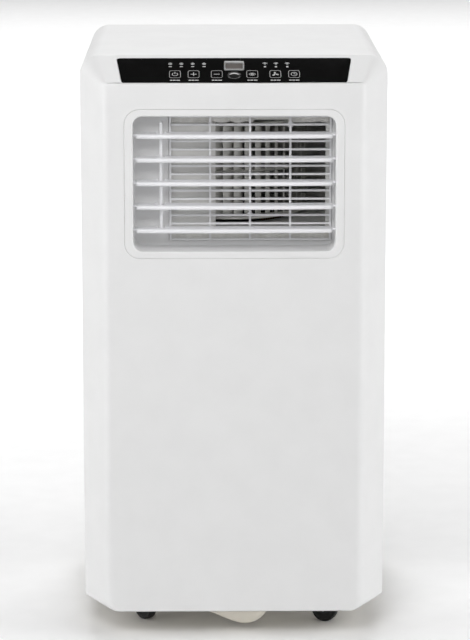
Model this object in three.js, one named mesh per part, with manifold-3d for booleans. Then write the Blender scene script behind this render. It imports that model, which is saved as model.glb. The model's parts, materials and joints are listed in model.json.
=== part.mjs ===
// Portable air conditioner on four swivel casters. Millimetres, +Z up, the front faces -Y.
// The origin is on the floor, under the middle of the cabinet.
import * as THREE from "three";
import { mergeVertices } from "three/addons/utils/BufferGeometryUtils.js";
import Module from "manifold-3d";

const wasm = await Module();
wasm.setup();

// ---------------------------------------------------------------- driving dimensions
const WIDTH = 345;
const DEPTH = 330;
const HEIGHT = 665;
const FACE_CLEARANCE = 30; // ground to the lower edge of the front face
const WALL_CLEARANCE = 36; // ground to the lower edge of the side walls
const WALL = 3;
const GAP = 0.3;
const CUT = 1; // how far a cutting tool runs past the face it opens

const HALF = WIDTH / 2;
const FRONT = -DEPTH / 2;
const BACK = DEPTH / 2;

// Front bevel: the flat front face is smaller than the rim where the panel meets the wrap.
const RIM_DEPTH = 50;
const RIM_Y = FRONT + RIM_DEPTH;
const SIDE_INSET = 28;
const TOP_DROP = 25;
const RIM_RADIUS = 21;
const FACE_RADIUS = 3;
const CORNER_STEPS = 6;
const SIDE_DRAFT = 5; // how much nearer each side wall is at the back edge than at the rim

// Rear panel, set into the wrap's back edge
const REAR_RECESS = 7;
const REAR_OUT = BACK - REAR_RECESS;
const REAR_IN = REAR_OUT - WALL;

// Louvre opening
const OPENING = { halfWidth: 113, low: 452, high: 604.4, radius: 11, depth: 36 };
const BEZEL = { halfWidth: 122.5, low: 443.2, high: 611.2, radius: 17, thick: 2.5 };
const SLEEVE_WALL = 2.5;

const BLADE_COUNT = 5;
const BLADE = { top: 580, pitch: 26.7, half: 109.8, noseRadius: 2.4, pivotDepth: 12 };
const PIVOT = { radius: 1.5, clearance: 0.5, out: 114.2, rise: 0.8 };
const CRANK = { back: 6, pinRadius: 1, holeRadius: 1.55 };
const ROD = { x: -81.8, width: 3.2, deep: 5.2, low: 469.5, high: 595 };
const NOTCH = { half: 4.5, start: 1 };

const GRILLE = {
  left: -72.9, right: 109.6, low: 456.9, high: 599.3,
  front: 35, deep: 4, firstBar: 588.8, barPitch: 9.37, barCount: 14, bar: 2.2, post: 2.4,
  posts: [-26.9, 18.0, 63.2],
};

// Control panel on the upper bevel. S runs up the bevel from the front face's top edge.
const BEVEL_TILT = Math.atan2(TOP_DROP, RIM_DEPTH);
const FASCIA = { low: 2.7, high: 50.6, halfLow: 124.6, halfHigh: 131, thick: 2, ledge: 3 };
const KEY = { width: 13.8, height: 15.5, radius: 2.6, s: 18, deep: 5, proud: 0.5 };
const KEYS = {
  button_power: -65.8,
  button_temp_up: -45.1,
  button_temp_down: -19.4,
  button_mode: 20.0,
  button_speed: 45.6,
  button_timer: 66.4,
};
const DISPLAY = { width: 22.4, height: 17.7, radius: 2, s: 35, thick: 1.8 };
const RECEIVER = { halfWidth: 7.6, halfHeight: 7, s: 15.8, thick: 1.8 };
const LAMPS = { x: [-71.1, -58.7, -46.2, -33.5, 34.4, 46.6, 59.2], s: 39.1, radius: 1.2 };
const LIGHT_STRIP = { past: 3, half: 2.5, top: -3.2, bottom: -5 };
const BOARD = { halfWidth: 84, low: 8, high: 47, top: -8, thick: 1.6, switchHalf: 3 };

// Upper blower, on a vertical shaft
const EVAP = {
  x: -2, y: -27, radius: 88, inner: 76, low: 478, high: 588, disc: 533, blades: 20,
  mouthDepth: 94, near: 16, far: 103.5, tongue: 93, low0: 470, high0: 596, inlet: 72,
};
// Lower blower, on a shaft that runs front to back
const COND = {
  x: -66, z: 170, radius: 62, inner: 53, front: -70, back: -15, blades: 16,
  mouthDepth: 75, near: 14, far: 70, tongue: 66, front0: -74, back0: -11, inlet: 50,
};
const SHEET = 2.5;
const RING_SIDES = 20;
const SHAFT_RADIUS = 4;
const UPPER_MOTOR = { radius: 40, low: 400, high: 462 };
const LOWER_MOTOR = { radius: 34, low: -122, high: -78 };

// Exhaust outlet, on the rear panel
const EXHAUST = { x: -80, z: 305, bore: 66, sleeve: 69, flange: 80, hole: 71 };
const DUCT = { left: -158, right: -4, front: -78, back: 137, low: 246, high: 382, wall: 2 };

// Intakes on the rear panel
const UPPER_INTAKE = { half: 123, low: 423, high: 637, margin: 6, columns: 3, rows: 11 };
const LOWER_INTAKE = { half: 125, low: 70, high: 216, margin: 6, columns: 3, rows: 8 };
const INTAKE_THICK = 4;

// Base and casters
const PAN = { floor: 34, thick: 4, rim: 62, front: FRONT + 7, back: 150, bossRadius: 9 };
const SUMP = { left: -52, right: 40, slopeEnd: -6, lowest: 8, front: FRONT + 13, back: FRONT + 101 };
const CASTER = { x: 97, front: -103, back: 110, trail: 10 };
const CASTER_TURN = { left: THREE.MathUtils.degToRad(130), right: THREE.MathUtils.degToRad(-20) };
const WHEEL = { radius: 15, half: 5.5, bore: 2.3 };
const FORK = { gap: 0.7, cheek: 2, top: 33.7, hood: 2.9, stem: 4, stemTop: 49 };
const AXLE = { radius: 2, half: 8.8 };
const DRAIN = { upper: [60, 407], lower: [0, 50], stem: 4.8, hole: 5.3, cap: 9 };
const HANDLE = { low: 570, high: 602, front: -15, back: 85, deep: 22, wall: 2.5 };
const GLAND = { x: 136, z: 250, hole: 8, flange: 12, bore: 3.6 };

// ---------------------------------------------------------------- materials
const FINISHES = {
  white: { color: 0xf2f2f2, roughness: 0.55, metalness: 0 },
  innerWhite: { color: 0xe9e9ea, roughness: 0.5, metalness: 0 },
  blackGloss: { color: 0x111112, roughness: 0.25, metalness: 0 },
  smoked: { color: 0x3a322e, roughness: 0.15, metalness: 0 },
  clear: { color: 0xd8d8d8, roughness: 0.3, metalness: 0 },
  blackPlastic: { color: 0x141414, roughness: 0.6, metalness: 0 },
  rubber: { color: 0x0c0c0c, roughness: 0.85, metalness: 0 },
  beige: { color: 0xcfc6b4, roughness: 0.7, metalness: 0 },
  greyPlastic: { color: 0x8f9295, roughness: 0.6, metalness: 0 },
  steel: { color: 0xa9acae, roughness: 0.4, metalness: 1 },
  blackPaint: { color: 0x1b1c1e, roughness: 0.5, metalness: 0.3 },
  fins: { color: 0xc3c7ca, roughness: 0.45, metalness: 1 },
  copper: { color: 0xb8704a, roughness: 0.35, metalness: 1 },
  board: { color: 0x1f5a35, roughness: 0.6, metalness: 0 },
  filter: { color: 0x3b3d40, roughness: 0.9, metalness: 0 },
};

// ---------------------------------------------------------------- shape helpers
function solid(geometry) {
  const bare = geometry.clone();
  bare.deleteAttribute("normal");
  bare.deleteAttribute("uv");
  const merged = mergeVertices(bare, 1e-4);
  const mesh = new wasm.Mesh({
    numProp: 3,
    vertProperties: new Float32Array(merged.getAttribute("position").array),
    triVerts: new Uint32Array(merged.index.array),
  });
  return new wasm.Manifold(mesh);
}

function geometryOf(manifold) {
  const mesh = manifold.getMesh();
  const geometry = new THREE.BufferGeometry();
  geometry.setAttribute("position", new THREE.BufferAttribute(mesh.vertProperties, 3));
  geometry.setIndex(new THREE.BufferAttribute(mesh.triVerts, 1));
  geometry.computeVertexNormals();
  return geometry;
}

function join(...geometries) {
  return geometryOf(geometries.map(solid).reduce((sum, piece) => sum.add(piece)));
}

function cut(geometry, ...tools) {
  return geometryOf(tools.map(solid).reduce((rest, tool) => rest.subtract(tool), solid(geometry)));
}

function box([x0, x1], [y0, y1], [z0, z1]) {
  const geometry = new THREE.BoxGeometry(x1 - x0, y1 - y0, z1 - z0);
  return geometry.translate((x0 + x1) / 2, (y0 + y1) / 2, (z0 + z1) / 2);
}

// A round bar along one axis, centred on the two other coordinates, in X, Y, Z order
function bar(axis, radius, [from, to], [a, b], sides = 16) {
  const geometry = new THREE.CylinderGeometry(radius, radius, to - from, sides);
  const middle = (from + to) / 2;
  if (axis === "x") return geometry.rotateZ(-Math.PI / 2).translate(middle, a, b);
  if (axis === "y") return geometry.translate(a, middle, b);
  return geometry.rotateX(Math.PI / 2).translate(a, b, middle);
}

function extrude(shape, depth, curveSegments = 6) {
  return new THREE.ExtrudeGeometry(shape, { depth, bevelEnabled: false, curveSegments });
}

// A shape drawn in X and Z, from y0 to y1
function extrudeY(shape, [y0, y1], curveSegments) {
  return extrude(shape, y1 - y0, curveSegments).rotateX(Math.PI / 2).translate(0, y1, 0);
}

// A shape drawn in X and Y, from z0 to z1
function extrudeZ(shape, [z0, z1], curveSegments) {
  return extrude(shape, z1 - z0, curveSegments).translate(0, 0, z0);
}

// A shape drawn in Y and Z, from x0 to x1
function extrudeX(shape, [x0, x1], curveSegments) {
  const turn = new THREE.Matrix4().makeBasis(
    new THREE.Vector3(0, 1, 0),
    new THREE.Vector3(0, 0, 1),
    new THREE.Vector3(1, 0, 0),
  );
  return extrude(shape, x1 - x0, curveSegments).applyMatrix4(turn).translate(x0, 0, 0);
}

function roundedRect([x0, x1], [y0, y1], radius) {
  const shape = new THREE.Shape();
  shape.moveTo(x0 + radius, y0);
  shape.lineTo(x1 - radius, y0);
  shape.absarc(x1 - radius, y0 + radius, radius, -Math.PI / 2, 0);
  shape.absarc(x1 - radius, y1 - radius, radius, 0, Math.PI / 2);
  shape.absarc(x0 + radius, y1 - radius, radius, Math.PI / 2, Math.PI);
  shape.absarc(x0 + radius, y0 + radius, radius, Math.PI, Math.PI * 1.5);
  return shape;
}

function polygon(points) {
  return new THREE.Shape(points.map(([x, y]) => new THREE.Vector2(x, y)));
}

// An upright plate with rows of rectangular slots through it
function slottedPlate(outline, [y0, y1], columns, rows) {
  const slots = columns.flatMap((column) => rows.map((row) => box(column, [y0 - CUT, y1 + CUT], row)));
  return cut(extrudeY(outline, [y0, y1], 3), ...slots);
}

// Equal spans between two ends, with a bar left standing between neighbours
function spans(from, to, count, barWidth) {
  const step = (to - from + barWidth) / count;
  return Array.from({ length: count }, (_, i) => {
    const start = from + i * step;
    return [start, start + step - barWidth];
  });
}

function tube(points, radius, steps, curveSegments = 4) {
  const path = new THREE.CatmullRomCurve3(points.map((p) => new THREE.Vector3(...p)));
  const section = new THREE.Shape().absarc(0, 0, radius, 0, Math.PI * 2);
  const options = { extrudePath: path, steps, curveSegments, bevelEnabled: false };
  return new THREE.ExtrudeGeometry(section, options);
}

// A body of revolution about Z from [radius, z] points that start and end on the axis
function turned(points, sides = 24) {
  const profile = points.map(([r, z]) => new THREE.Vector2(r, z));
  return new THREE.LatheGeometry(profile, sides).rotateX(Math.PI / 2);
}

// ---------------------------------------------------------------- the assembly
const airConditioner = new THREE.Group();

function add(name, finish, geometry, parent = airConditioner) {
  const mesh = new THREE.Mesh(geometry, new THREE.MeshStandardMaterial(FINISHES[finish]));
  mesh.name = name;
  parent.add(mesh);
  return mesh;
}

// Parts on the control panel are drawn in X and S, with N out of the bevel.
const bevel = new THREE.Group();
bevel.position.set(0, FRONT, HEIGHT - TOP_DROP);
bevel.rotation.x = BEVEL_TILT;
airConditioner.add(bevel);

function ontoBevel(geometry) {
  bevel.updateMatrixWorld(true);
  return geometry.clone().applyMatrix4(bevel.matrixWorld);
}

// ---------------------------------------------------------------- casing
// Points of an outline with a square bottom and rounded top corners, anticlockwise in X and Z
function archPoints(halfWidth, low, high, radius) {
  const points = [[-halfWidth, low], [halfWidth, low]];
  for (const [side, start] of [[1, 0], [-1, Math.PI / 2]]) {
    for (let i = 0; i <= CORNER_STEPS; i++) {
      const angle = start + (i / CORNER_STEPS) * (Math.PI / 2);
      const x = side * (halfWidth - radius) + radius * Math.cos(angle);
      points.push([x, high - radius + radius * Math.sin(angle)]);
    }
  }
  return points;
}

// A closed solid between two convex outlines of the same number of points
function loft(front, frontY, back, backY) {
  const n = front.length;
  const at = (points, y) => points.flatMap(([x, z]) => [x, y, z]);
  const index = [];
  for (let i = 0; i < n; i++) {
    const j = (i + 1) % n;
    index.push(i, n + i, n + j, i, n + j, j);
    if (i > 0 && i < n - 1) index.push(0, i, i + 1, n, n + i + 1, n + i);
  }
  const geometry = new THREE.BufferGeometry();
  const position = new Float32Array([...at(front, frontY), ...at(back, backY)]);
  geometry.setAttribute("position", new THREE.BufferAttribute(position, 3));
  geometry.setIndex(index);
  return geometry;
}

// The bevelled front body, drawn in by an offset from its outer surface
function frontBody(offset, startDepth, endDepth, overrun) {
  const sideSlope = SIDE_INSET / RIM_DEPTH;
  const topSlope = TOP_DROP / RIM_DEPTH;
  const footSlope = (WALL_CLEARANCE - FACE_CLEARANCE) / RIM_DEPTH;
  const section = (depth, radius) => {
    const sideShift = offset * Math.hypot(1, sideSlope);
    const topShift = offset * Math.hypot(1, topSlope);
    const half = HALF - SIDE_INSET - sideShift + depth * sideSlope;
    const low = FACE_CLEARANCE + depth * footSlope - overrun;
    return archPoints(half, low, HEIGHT - TOP_DROP - topShift + depth * topSlope, radius);
  };
  return loft(
    section(startDepth, FACE_RADIUS - offset * 0.5),
    FRONT + startDepth,
    section(endDepth, RIM_RADIUS - offset),
    FRONT + endDepth,
  );
}

function fasciaOutline(grow) {
  const low = FASCIA.low - grow;
  const high = FASCIA.high + grow;
  const halfLow = FASCIA.halfLow + grow;
  const halfHigh = FASCIA.halfHigh + grow;
  return polygon([[-halfLow, low], [halfLow, low], [halfHigh, high], [-halfHigh, high]]);
}

function frontPanel() {
  const shell = cut(
    frontBody(0, 0, RIM_DEPTH - GAP, 0),
    frontBody(WALL, WALL, RIM_DEPTH + CUT, CUT),
  );
  const hole = roundedRect(
    [-BEZEL.halfWidth - GAP, BEZEL.halfWidth + GAP],
    [BEZEL.low - GAP, BEZEL.high + GAP],
    BEZEL.radius,
  );
  const pocket = extrudeZ(fasciaOutline(GAP), [-FASCIA.thick, CUT]);
  const window = extrudeZ(fasciaOutline(-FASCIA.ledge), [-WALL - CUT, CUT]);
  const opening = extrudeY(hole, [FRONT - CUT, FRONT + WALL + CUT], 4);
  return cut(shell, opening, ontoBevel(pocket), ontoBevel(window));
}

// Half the outer width at a depth: the side walls draw in towards the back
function halfWidthAt(y) {
  return HALF - (SIDE_DRAFT * (y - RIM_Y)) / (BACK - RIM_Y);
}

// The wrap's outer body, drawn in by an offset
function wrapBody(offset, from, to, low) {
  const section = (y) => archPoints(halfWidthAt(y) - offset, low, HEIGHT - offset, RIM_RADIUS - offset);
  return loft(section(from), from, section(to), to);
}

function casingWrap() {
  const shell = cut(
    wrapBody(0, RIM_Y, BACK, WALL_CLEARANCE),
    wrapBody(WALL, RIM_Y - CUT, BACK + CUT, WALL_CLEARANCE - CUT),
  );
  const handHole = box(
    [-HALF - CUT, HALF + CUT],
    [HANDLE.front - GAP, HANDLE.back + GAP],
    [HANDLE.low - GAP, HANDLE.high + GAP],
  );
  return cut(shell, handHole);
}

function rearPanel() {
  const inset = WALL + GAP;
  const outline = archPoints(
    halfWidthAt(REAR_OUT) - inset, WALL_CLEARANCE, HEIGHT - inset, RIM_RADIUS - inset,
  );
  const through = [REAR_IN - CUT, REAR_OUT + CUT];
  const intakes = [UPPER_INTAKE, LOWER_INTAKE].map(({ half, low, high, margin }) => {
    const edge = half - margin;
    return box([-edge, edge], through, [low + margin, high - margin]);
  });
  const drains = [DRAIN.upper, DRAIN.lower].map((at) => bar("y", DRAIN.hole, through, at, 12));
  return cut(
    extrudeY(polygon(outline), [REAR_IN, REAR_OUT]),
    ...intakes,
    ...drains,
    bar("y", EXHAUST.hole, through, [EXHAUST.x, EXHAUST.z], 28),
    bar("y", GLAND.hole, through, [GLAND.x, GLAND.z], 12),
  );
}

// A recess for the fingers, open at the outside; side is -1 for left and 1 for right
function handleCup(side) {
  const { front, back, low, high, deep, wall } = HANDLE;
  const bottom = side * (HALF - deep);
  const across = (a, b) => (side > 0 ? [a, b] : [b, a]);
  const section = (y) => {
    const [x0, x1] = across(bottom, side * halfWidthAt(y));
    return [[x0, low], [x1, low], [x1, high], [x0, high]];
  };
  const hollow = box(
    across(bottom + side * wall, side * (HALF + CUT)),
    [front + wall, back - wall],
    [low + wall, high - wall],
  );
  return cut(loft(section(front), front, section(back), back), hollow);
}

add("front_panel", "white", frontPanel());
add("casing_wrap", "white", casingWrap());
add("rear_panel", "white", rearPanel());
add("left_handle_cup", "white", handleCup(-1));
add("right_handle_cup", "white", handleCup(1));

// ---------------------------------------------------------------- base pan
// Cross-section of the drain sump under the pan: a long slope on the left, round on the right
function sumpShape(inset) {
  const top = PAN.floor + (inset ? PAN.thick + CUT : CUT);
  const lowest = SUMP.lowest + inset;
  const right = SUMP.right - inset;
  const shape = new THREE.Shape();
  shape.moveTo(SUMP.left + 2 * inset, top);
  shape.lineTo(SUMP.slopeEnd + inset * 0.4, lowest + 3);
  shape.quadraticCurveTo(SUMP.slopeEnd + 7, lowest, SUMP.slopeEnd + 15, lowest);
  shape.bezierCurveTo(24, lowest, right - 2, lowest + 4, right, lowest + 16);
  shape.lineTo(right, top);
  return shape;
}

function panShape(inset) {
  const slope = SIDE_INSET / RIM_DEPTH;
  const frontHalf = HALF - SIDE_INSET - WALL * Math.hypot(1, slope) - 2 + slope * (PAN.front - FRONT);
  const half = HALF - WALL - CUT;
  const front = PAN.front + inset;
  const knee = PAN.front + (half - frontHalf) / slope;
  const back = PAN.back - inset;
  const backHalf = halfWidthAt(PAN.back) - WALL - CUT;
  return polygon([
    [-frontHalf + inset, front], [frontHalf - inset, front], [half - inset, knee],
    [backHalf - inset, back], [-backHalf + inset, back], [-half + inset, knee],
  ]);
}

const CASTER_PLACES = {
  front_left: { x: -CASTER.x, y: CASTER.front, heading: CASTER_TURN.left },
  front_right: { x: CASTER.x, y: CASTER.front, heading: CASTER_TURN.right },
  rear_left: { x: -CASTER.x, y: CASTER.back, heading: CASTER_TURN.left },
  rear_right: { x: CASTER.x, y: CASTER.back, heading: CASTER_TURN.right },
};

function basePan() {
  const floorTop = PAN.floor + PAN.thick;
  const places = Object.values(CASTER_PLACES).map(({ x, y }) => [x, y]);
  const tray = cut(
    join(
      extrudeZ(panShape(0), [PAN.floor, PAN.rim]),
      extrudeY(sumpShape(0), [SUMP.front, SUMP.back], 5),
    ),
    extrudeZ(panShape(WALL), [floorTop, PAN.rim + CUT]),
    extrudeY(sumpShape(WALL), [SUMP.front + WALL, SUMP.back - WALL], 5),
    bar("y", DRAIN.hole, [PAN.back - WALL - CUT, PAN.back + CUT], DRAIN.lower, 12),
  );
  const bosses = places.map((at) => {
    return bar("z", PAN.bossRadius, [floorTop - CUT, FORK.stemTop + 4], at, 12);
  });
  const sockets = places.map((at) => {
    return bar("z", FORK.stem + 0.4, [PAN.floor - CUT, FORK.stemTop + 1], at, 12);
  });
  return cut(join(tray, ...bosses), ...sockets);
}

add("base_pan", "beige", basePan());

// ---------------------------------------------------------------- casters
// Each caster is drawn with its wheel trailing along +X, about its own swivel axis.
function casterFork() {
  const inner = WHEEL.half + FORK.gap;
  const outer = inner + FORK.cheek;
  const { trail } = CASTER;
  const hood = box([-8, trail + 9], [-outer, outer], [FORK.top - FORK.hood, FORK.top]);
  const stem = bar("z", FORK.stem, [FORK.top - 1, FORK.stemTop], [0, 0], 12);
  const cheeks = [-1, 1].map((side) => {
    const edges = [side * inner, side * outer].sort((a, b) => a - b);
    return extrudeY(
      polygon([[-7, FORK.top - 1], [trail - 4, 10.5], [trail + 4, 10.5], [trail + 7, FORK.top - 1]]),
      edges,
    );
  });
  const bore = bar("y", WHEEL.bore, [-outer - CUT, outer + CUT], [trail, WHEEL.radius], 12);
  return cut(join(hood, stem, ...cheeks), bore);
}

function casterWheel() {
  const { radius, half, bore } = WHEEL;
  const corners = [[bore, -half], [radius, -half], [radius, half], [bore, half], [bore, -half]];
  const profile = corners.map(([r, y]) => new THREE.Vector2(r, y));
  const tyre = new THREE.LatheGeometry(profile, 24);
  return tyre.translate(CASTER.trail, 0, WHEEL.radius);
}

for (const [place, { x, y, heading }] of Object.entries(CASTER_PLACES)) {
  const swivel = new THREE.Group();
  swivel.position.set(x, y, 0);
  swivel.rotation.z = heading;
  airConditioner.add(swivel);
  const axle = bar("y", AXLE.radius, [-AXLE.half, AXLE.half], [CASTER.trail, WHEEL.radius], 10);
  add(`caster_fork_${place}`, "blackPlastic", casterFork(), swivel);
  add(`caster_wheel_${place}`, "rubber", casterWheel(), swivel);
  add(`caster_axle_${place}`, "steel", axle, swivel);
}

// ---------------------------------------------------------------- louvre
const bladeHeights = Array.from({ length: BLADE_COUNT }, (_, i) => BLADE.top - i * BLADE.pitch);
const pivotY = FRONT + BLADE.pivotDepth;
const crankY = pivotY + CRANK.back;

function louverFrame() {
  const wide = (grow) => [-OPENING.halfWidth - grow, OPENING.halfWidth + grow];
  const tall = (grow) => [OPENING.low - grow, OPENING.high + grow];
  const bezel = roundedRect([-BEZEL.halfWidth, BEZEL.halfWidth], [BEZEL.low, BEZEL.high], BEZEL.radius);
  const outer = roundedRect(wide(SLEEVE_WALL), tall(SLEEVE_WALL), OPENING.radius + SLEEVE_WALL);
  const inner = roundedRect(wide(0), tall(0), OPENING.radius);
  const backFace = FRONT + GRILLE.front + GRILLE.deep;
  const body = join(
    extrudeY(bezel, [FRONT, FRONT + BEZEL.thick], 4),
    extrudeY(outer, [FRONT + CUT, backFace], 3),
  );
  const grilleSeat = box(
    [GRILLE.left - GAP, GRILLE.right + GAP],
    [FRONT, backFace + CUT],
    [GRILLE.low - GAP, GRILLE.high + GAP],
  );
  const reach = OPENING.halfWidth + SLEEVE_WALL + CUT;
  const pivotHoles = bladeHeights.map((z) => {
    return bar("x", PIVOT.radius + PIVOT.clearance, [-reach, reach], [pivotY, z + PIVOT.rise], 8);
  });
  const recess = extrudeY(inner, [FRONT - CUT, FRONT + OPENING.depth], 3);
  return cut(body, recess, grilleSeat, ...pivotHoles);
}

function outletGrille() {
  const { left, right, low, high, firstBar, barPitch, barCount, bar: thick, post, posts } = GRILLE;
  const edges = [left, ...posts, right];
  const columns = edges.slice(1).map((x, i) => {
    const start = i === 0 ? left + post : edges[i] + post / 2;
    const end = i === posts.length ? right - post : x - post / 2;
    return [start, end];
  });
  const bars = Array.from({ length: barCount }, (_, i) => firstBar - i * barPitch);
  const tops = [high - thick, ...bars.map((z) => z - thick / 2)];
  const bottoms = [...bars.map((z) => z + thick / 2), low + thick];
  const rows = tops.map((top, i) => [bottoms[i], top]);
  const outline = polygon([[left, low], [right, low], [right, high], [left, high]]);
  const front = FRONT + GRILLE.front;
  return slottedPlate(outline, [front, front + GRILLE.deep], columns, rows);
}

// One blade about its pivot axis: a round nose in front, a thin tail behind, and a notch for the rod
function louverBlade() {
  const tail = 15;
  const nose = BLADE.pivotDepth - 5 - BLADE.noseRadius;
  const shape = new THREE.Shape();
  shape.moveTo(-nose, BLADE.noseRadius - PIVOT.rise);
  shape.absarc(-nose, -PIVOT.rise, BLADE.noseRadius, Math.PI / 2, Math.PI * 1.5);
  shape.lineTo(-nose + 2.6, -PIVOT.rise);
  shape.lineTo(tail - 0.7, -0.4);
  shape.absarc(tail - 0.7, 0.3, 0.7, -Math.PI / 2, Math.PI / 2);
  const plate = extrudeX(shape, [-BLADE.half, BLADE.half], 3);
  const notch = box([ROD.x - NOTCH.half, ROD.x + NOTCH.half], [NOTCH.start, tail + CUT], [-5, 5]);
  const pins = bar("x", PIVOT.radius, [-PIVOT.out, PIVOT.out], [0, 0], 8);
  const pinsOnly = cut(pins, box([-BLADE.half + 2, BLADE.half - 2], [-5, 5], [-5, 5]));
  const crankEnds = [ROD.x - NOTCH.half - CUT, ROD.x + NOTCH.half + CUT];
  const crankPin = bar("x", CRANK.pinRadius, crankEnds, [CRANK.back, 0], 8);
  return join(cut(plate, notch), pinsOnly, crankPin);
}

function louverLink() {
  const across = [ROD.x - ROD.width / 2, ROD.x + ROD.width / 2];
  const rod = box(across, [crankY - ROD.deep / 2, crankY + ROD.deep / 2], [ROD.low, ROD.high]);
  const through = [across[0] - CUT, across[1] + CUT];
  const holes = bladeHeights.map((z) => {
    return bar("x", CRANK.holeRadius, through, [crankY, z + PIVOT.rise], 8);
  });
  return cut(rod, ...holes);
}

add("louver_frame", "white", louverFrame());
add("outlet_grille", "innerWhite", outletGrille());
bladeHeights.forEach((z, i) => {
  const blade = add(`louver_blade_${i + 1}`, "innerWhite", louverBlade());
  blade.position.set(0, pivotY, z + PIVOT.rise);
});
add("louver_link", "innerWhite", louverLink());

// ---------------------------------------------------------------- control panel
function keyOutline(x, grow) {
  const halfWidth = KEY.width / 2 + grow;
  const halfHeight = KEY.height / 2 + grow;
  return roundedRect([x - halfWidth, x + halfWidth], [KEY.s - halfHeight, KEY.s + halfHeight], KEY.radius);
}

function displayOutline(grow) {
  const halfWidth = DISPLAY.width / 2 + grow;
  const halfHeight = DISPLAY.height / 2 + grow;
  return roundedRect(
    [-halfWidth, halfWidth], [DISPLAY.s - halfHeight, DISPLAY.s + halfHeight], DISPLAY.radius,
  );
}

function receiverOutline(grow) {
  const shape = new THREE.Shape();
  shape.absellipse(0, RECEIVER.s, RECEIVER.halfWidth + grow, RECEIVER.halfHeight + grow, 0, Math.PI * 2);
  return shape;
}

function controlFascia() {
  const through = [-FASCIA.thick - CUT, CUT];
  const outline = fasciaOutline(0);
  const openings = [
    ...Object.values(KEYS).map((x) => extrudeZ(keyOutline(x, GAP), through, 2)),
    extrudeZ(displayOutline(GAP), through, 2),
    extrudeZ(receiverOutline(GAP), through, 8),
    ...LAMPS.x.map((x) => bar("z", LAMPS.radius + GAP, through, [x, LAMPS.s], 8)),
  ];
  return cut(extrudeZ(outline, [-FASCIA.thick + 0.1, 0]), ...openings);
}

function lightGuide() {
  const { past, half, top, bottom } = LIGHT_STRIP;
  const ends = [Math.min(...LAMPS.x) - past, Math.max(...LAMPS.x) + past];
  const strip = box(ends, [LAMPS.s - half, LAMPS.s + half], [bottom, top]);
  const pips = LAMPS.x.map((x) => bar("z", LAMPS.radius, [top - 0.8, 0], [x, LAMPS.s], 8));
  return join(strip, ...pips);
}

// The circuit board under the fascia, with a tactile switch under each button
function controlBoard() {
  const { halfWidth, low, high, top, thick, switchHalf } = BOARD;
  const plate = box([-halfWidth, halfWidth], [low, high], [top - thick, top]);
  const switches = Object.values(KEYS).map((x) => {
    const across = [x - switchHalf, x + switchHalf];
    return box(across, [KEY.s - switchHalf, KEY.s + switchHalf], [top - 0.5, -KEY.deep - 1]);
  });
  return join(plate, ...switches);
}

add("control_fascia", "blackGloss", controlFascia(), bevel);
add("display_window", "smoked", extrudeZ(displayOutline(0), [-DISPLAY.thick, 0.1], 2), bevel);
add("ir_receiver", "smoked", extrudeZ(receiverOutline(0), [-RECEIVER.thick, 0.4], 8), bevel);
add("indicator_light_guide", "clear", lightGuide(), bevel);
add("control_board", "board", controlBoard(), bevel);
for (const [name, x] of Object.entries(KEYS)) {
  add(name, "blackGloss", extrudeZ(keyOutline(x, 0), [-KEY.deep, KEY.proud], 2), bevel);
}

// ---------------------------------------------------------------- blowers
// A squirrel-cage wheel about Z: two end rings, a driven disc, a hub and straight blades
function blowerWheel({ radius, inner, blades }, low, high, disc) {
  const ring = (z0, z1, r0, r1) => {
    const points = [[r0, z0], [r1, z0], [r1, z1], [r0, z1], [r0, z0]];
    const profile = points.map(([r, z]) => new THREE.Vector2(r, z));
    return new THREE.LatheGeometry(profile, RING_SIDES).rotateX(Math.PI / 2);
  };
  const bladePieces = Array.from({ length: blades }, (_, i) => {
    const blade = box([inner + 0.6, radius - 0.6], [-1, 1], [low + 1, high - 1]);
    return blade.rotateZ((i / blades) * Math.PI * 2);
  });
  return join(
    ring(low, low + 4, inner, radius),
    ring(high - 4, high, inner, radius),
    ring(disc - 1.5, disc + 1.5, 6, radius - 1),
    ring(disc - 12, disc + 12, 4.4, 10),
    ...bladePieces,
  );
}

// A spiral outline about the origin, with its mouth towards -V; wall adds to every radius
function scrollShape({ mouthDepth, near, far, tongue }, wall, overrun) {
  const start = Math.atan2(-mouthDepth, -near) + Math.PI * 2;
  const end = Math.atan2(-mouthDepth, far);
  const last = Math.hypot(mouthDepth, far);
  const points = [[-near - wall, -mouthDepth - overrun]];
  const steps = 26;
  for (let i = 0; i <= steps; i++) {
    const angle = start + (end - start) * (i / steps);
    const r = tongue + (last - tongue) * (i / steps) + wall;
    const inMouth = i === 0 || i === steps;
    if (!inMouth) points.push([r * Math.cos(angle), r * Math.sin(angle)]);
  }
  points.push([far + wall, -mouthDepth - overrun]);
  return polygon(points.reverse());
}

function evaporatorScroll() {
  const ends = [EVAP.low0, EVAP.high0];
  const mouthY = EVAP.y - EVAP.mouthDepth;
  const place = (geometry) => geometry.translate(EVAP.x, EVAP.y, 0);
  const shell = place(extrudeZ(scrollShape(EVAP, SHEET, 0), ends));
  const cavity = place(extrudeZ(scrollShape(EVAP, 0, 5), [ends[0] + SHEET, ends[1] - SHEET]));
  const flange = box(
    [GRILLE.left - 2, GRILLE.right + 2],
    [mouthY - 3, mouthY],
    [GRILLE.low - 2, GRILLE.high],
  );
  const inlets = bar("z", EVAP.inlet, [ends[0] - CUT, ends[1] + CUT], [EVAP.x, EVAP.y], 32);
  return cut(join(shell, flange), cavity, inlets);
}

function condenserScroll() {
  const ends = [COND.front0, COND.back0];
  const place = (geometry) => geometry.rotateY(Math.PI).translate(COND.x, 0, COND.z);
  const shell = place(extrudeY(scrollShape(COND, SHEET, 0), ends));
  const cavity = place(extrudeY(scrollShape(COND, 0, 5), [ends[0] + SHEET, ends[1] - SHEET]));
  const inlet = bar("y", COND.inlet, [ends[1] - SHEET - CUT, ends[1] + CUT], [COND.x, COND.z], 24);
  const shaftHole = bar("y", 12, [ends[0] - CUT, ends[0] + SHEET + CUT], [COND.x, COND.z], 12);
  return cut(shell, cavity, inlet, shaftHole);
}

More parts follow.
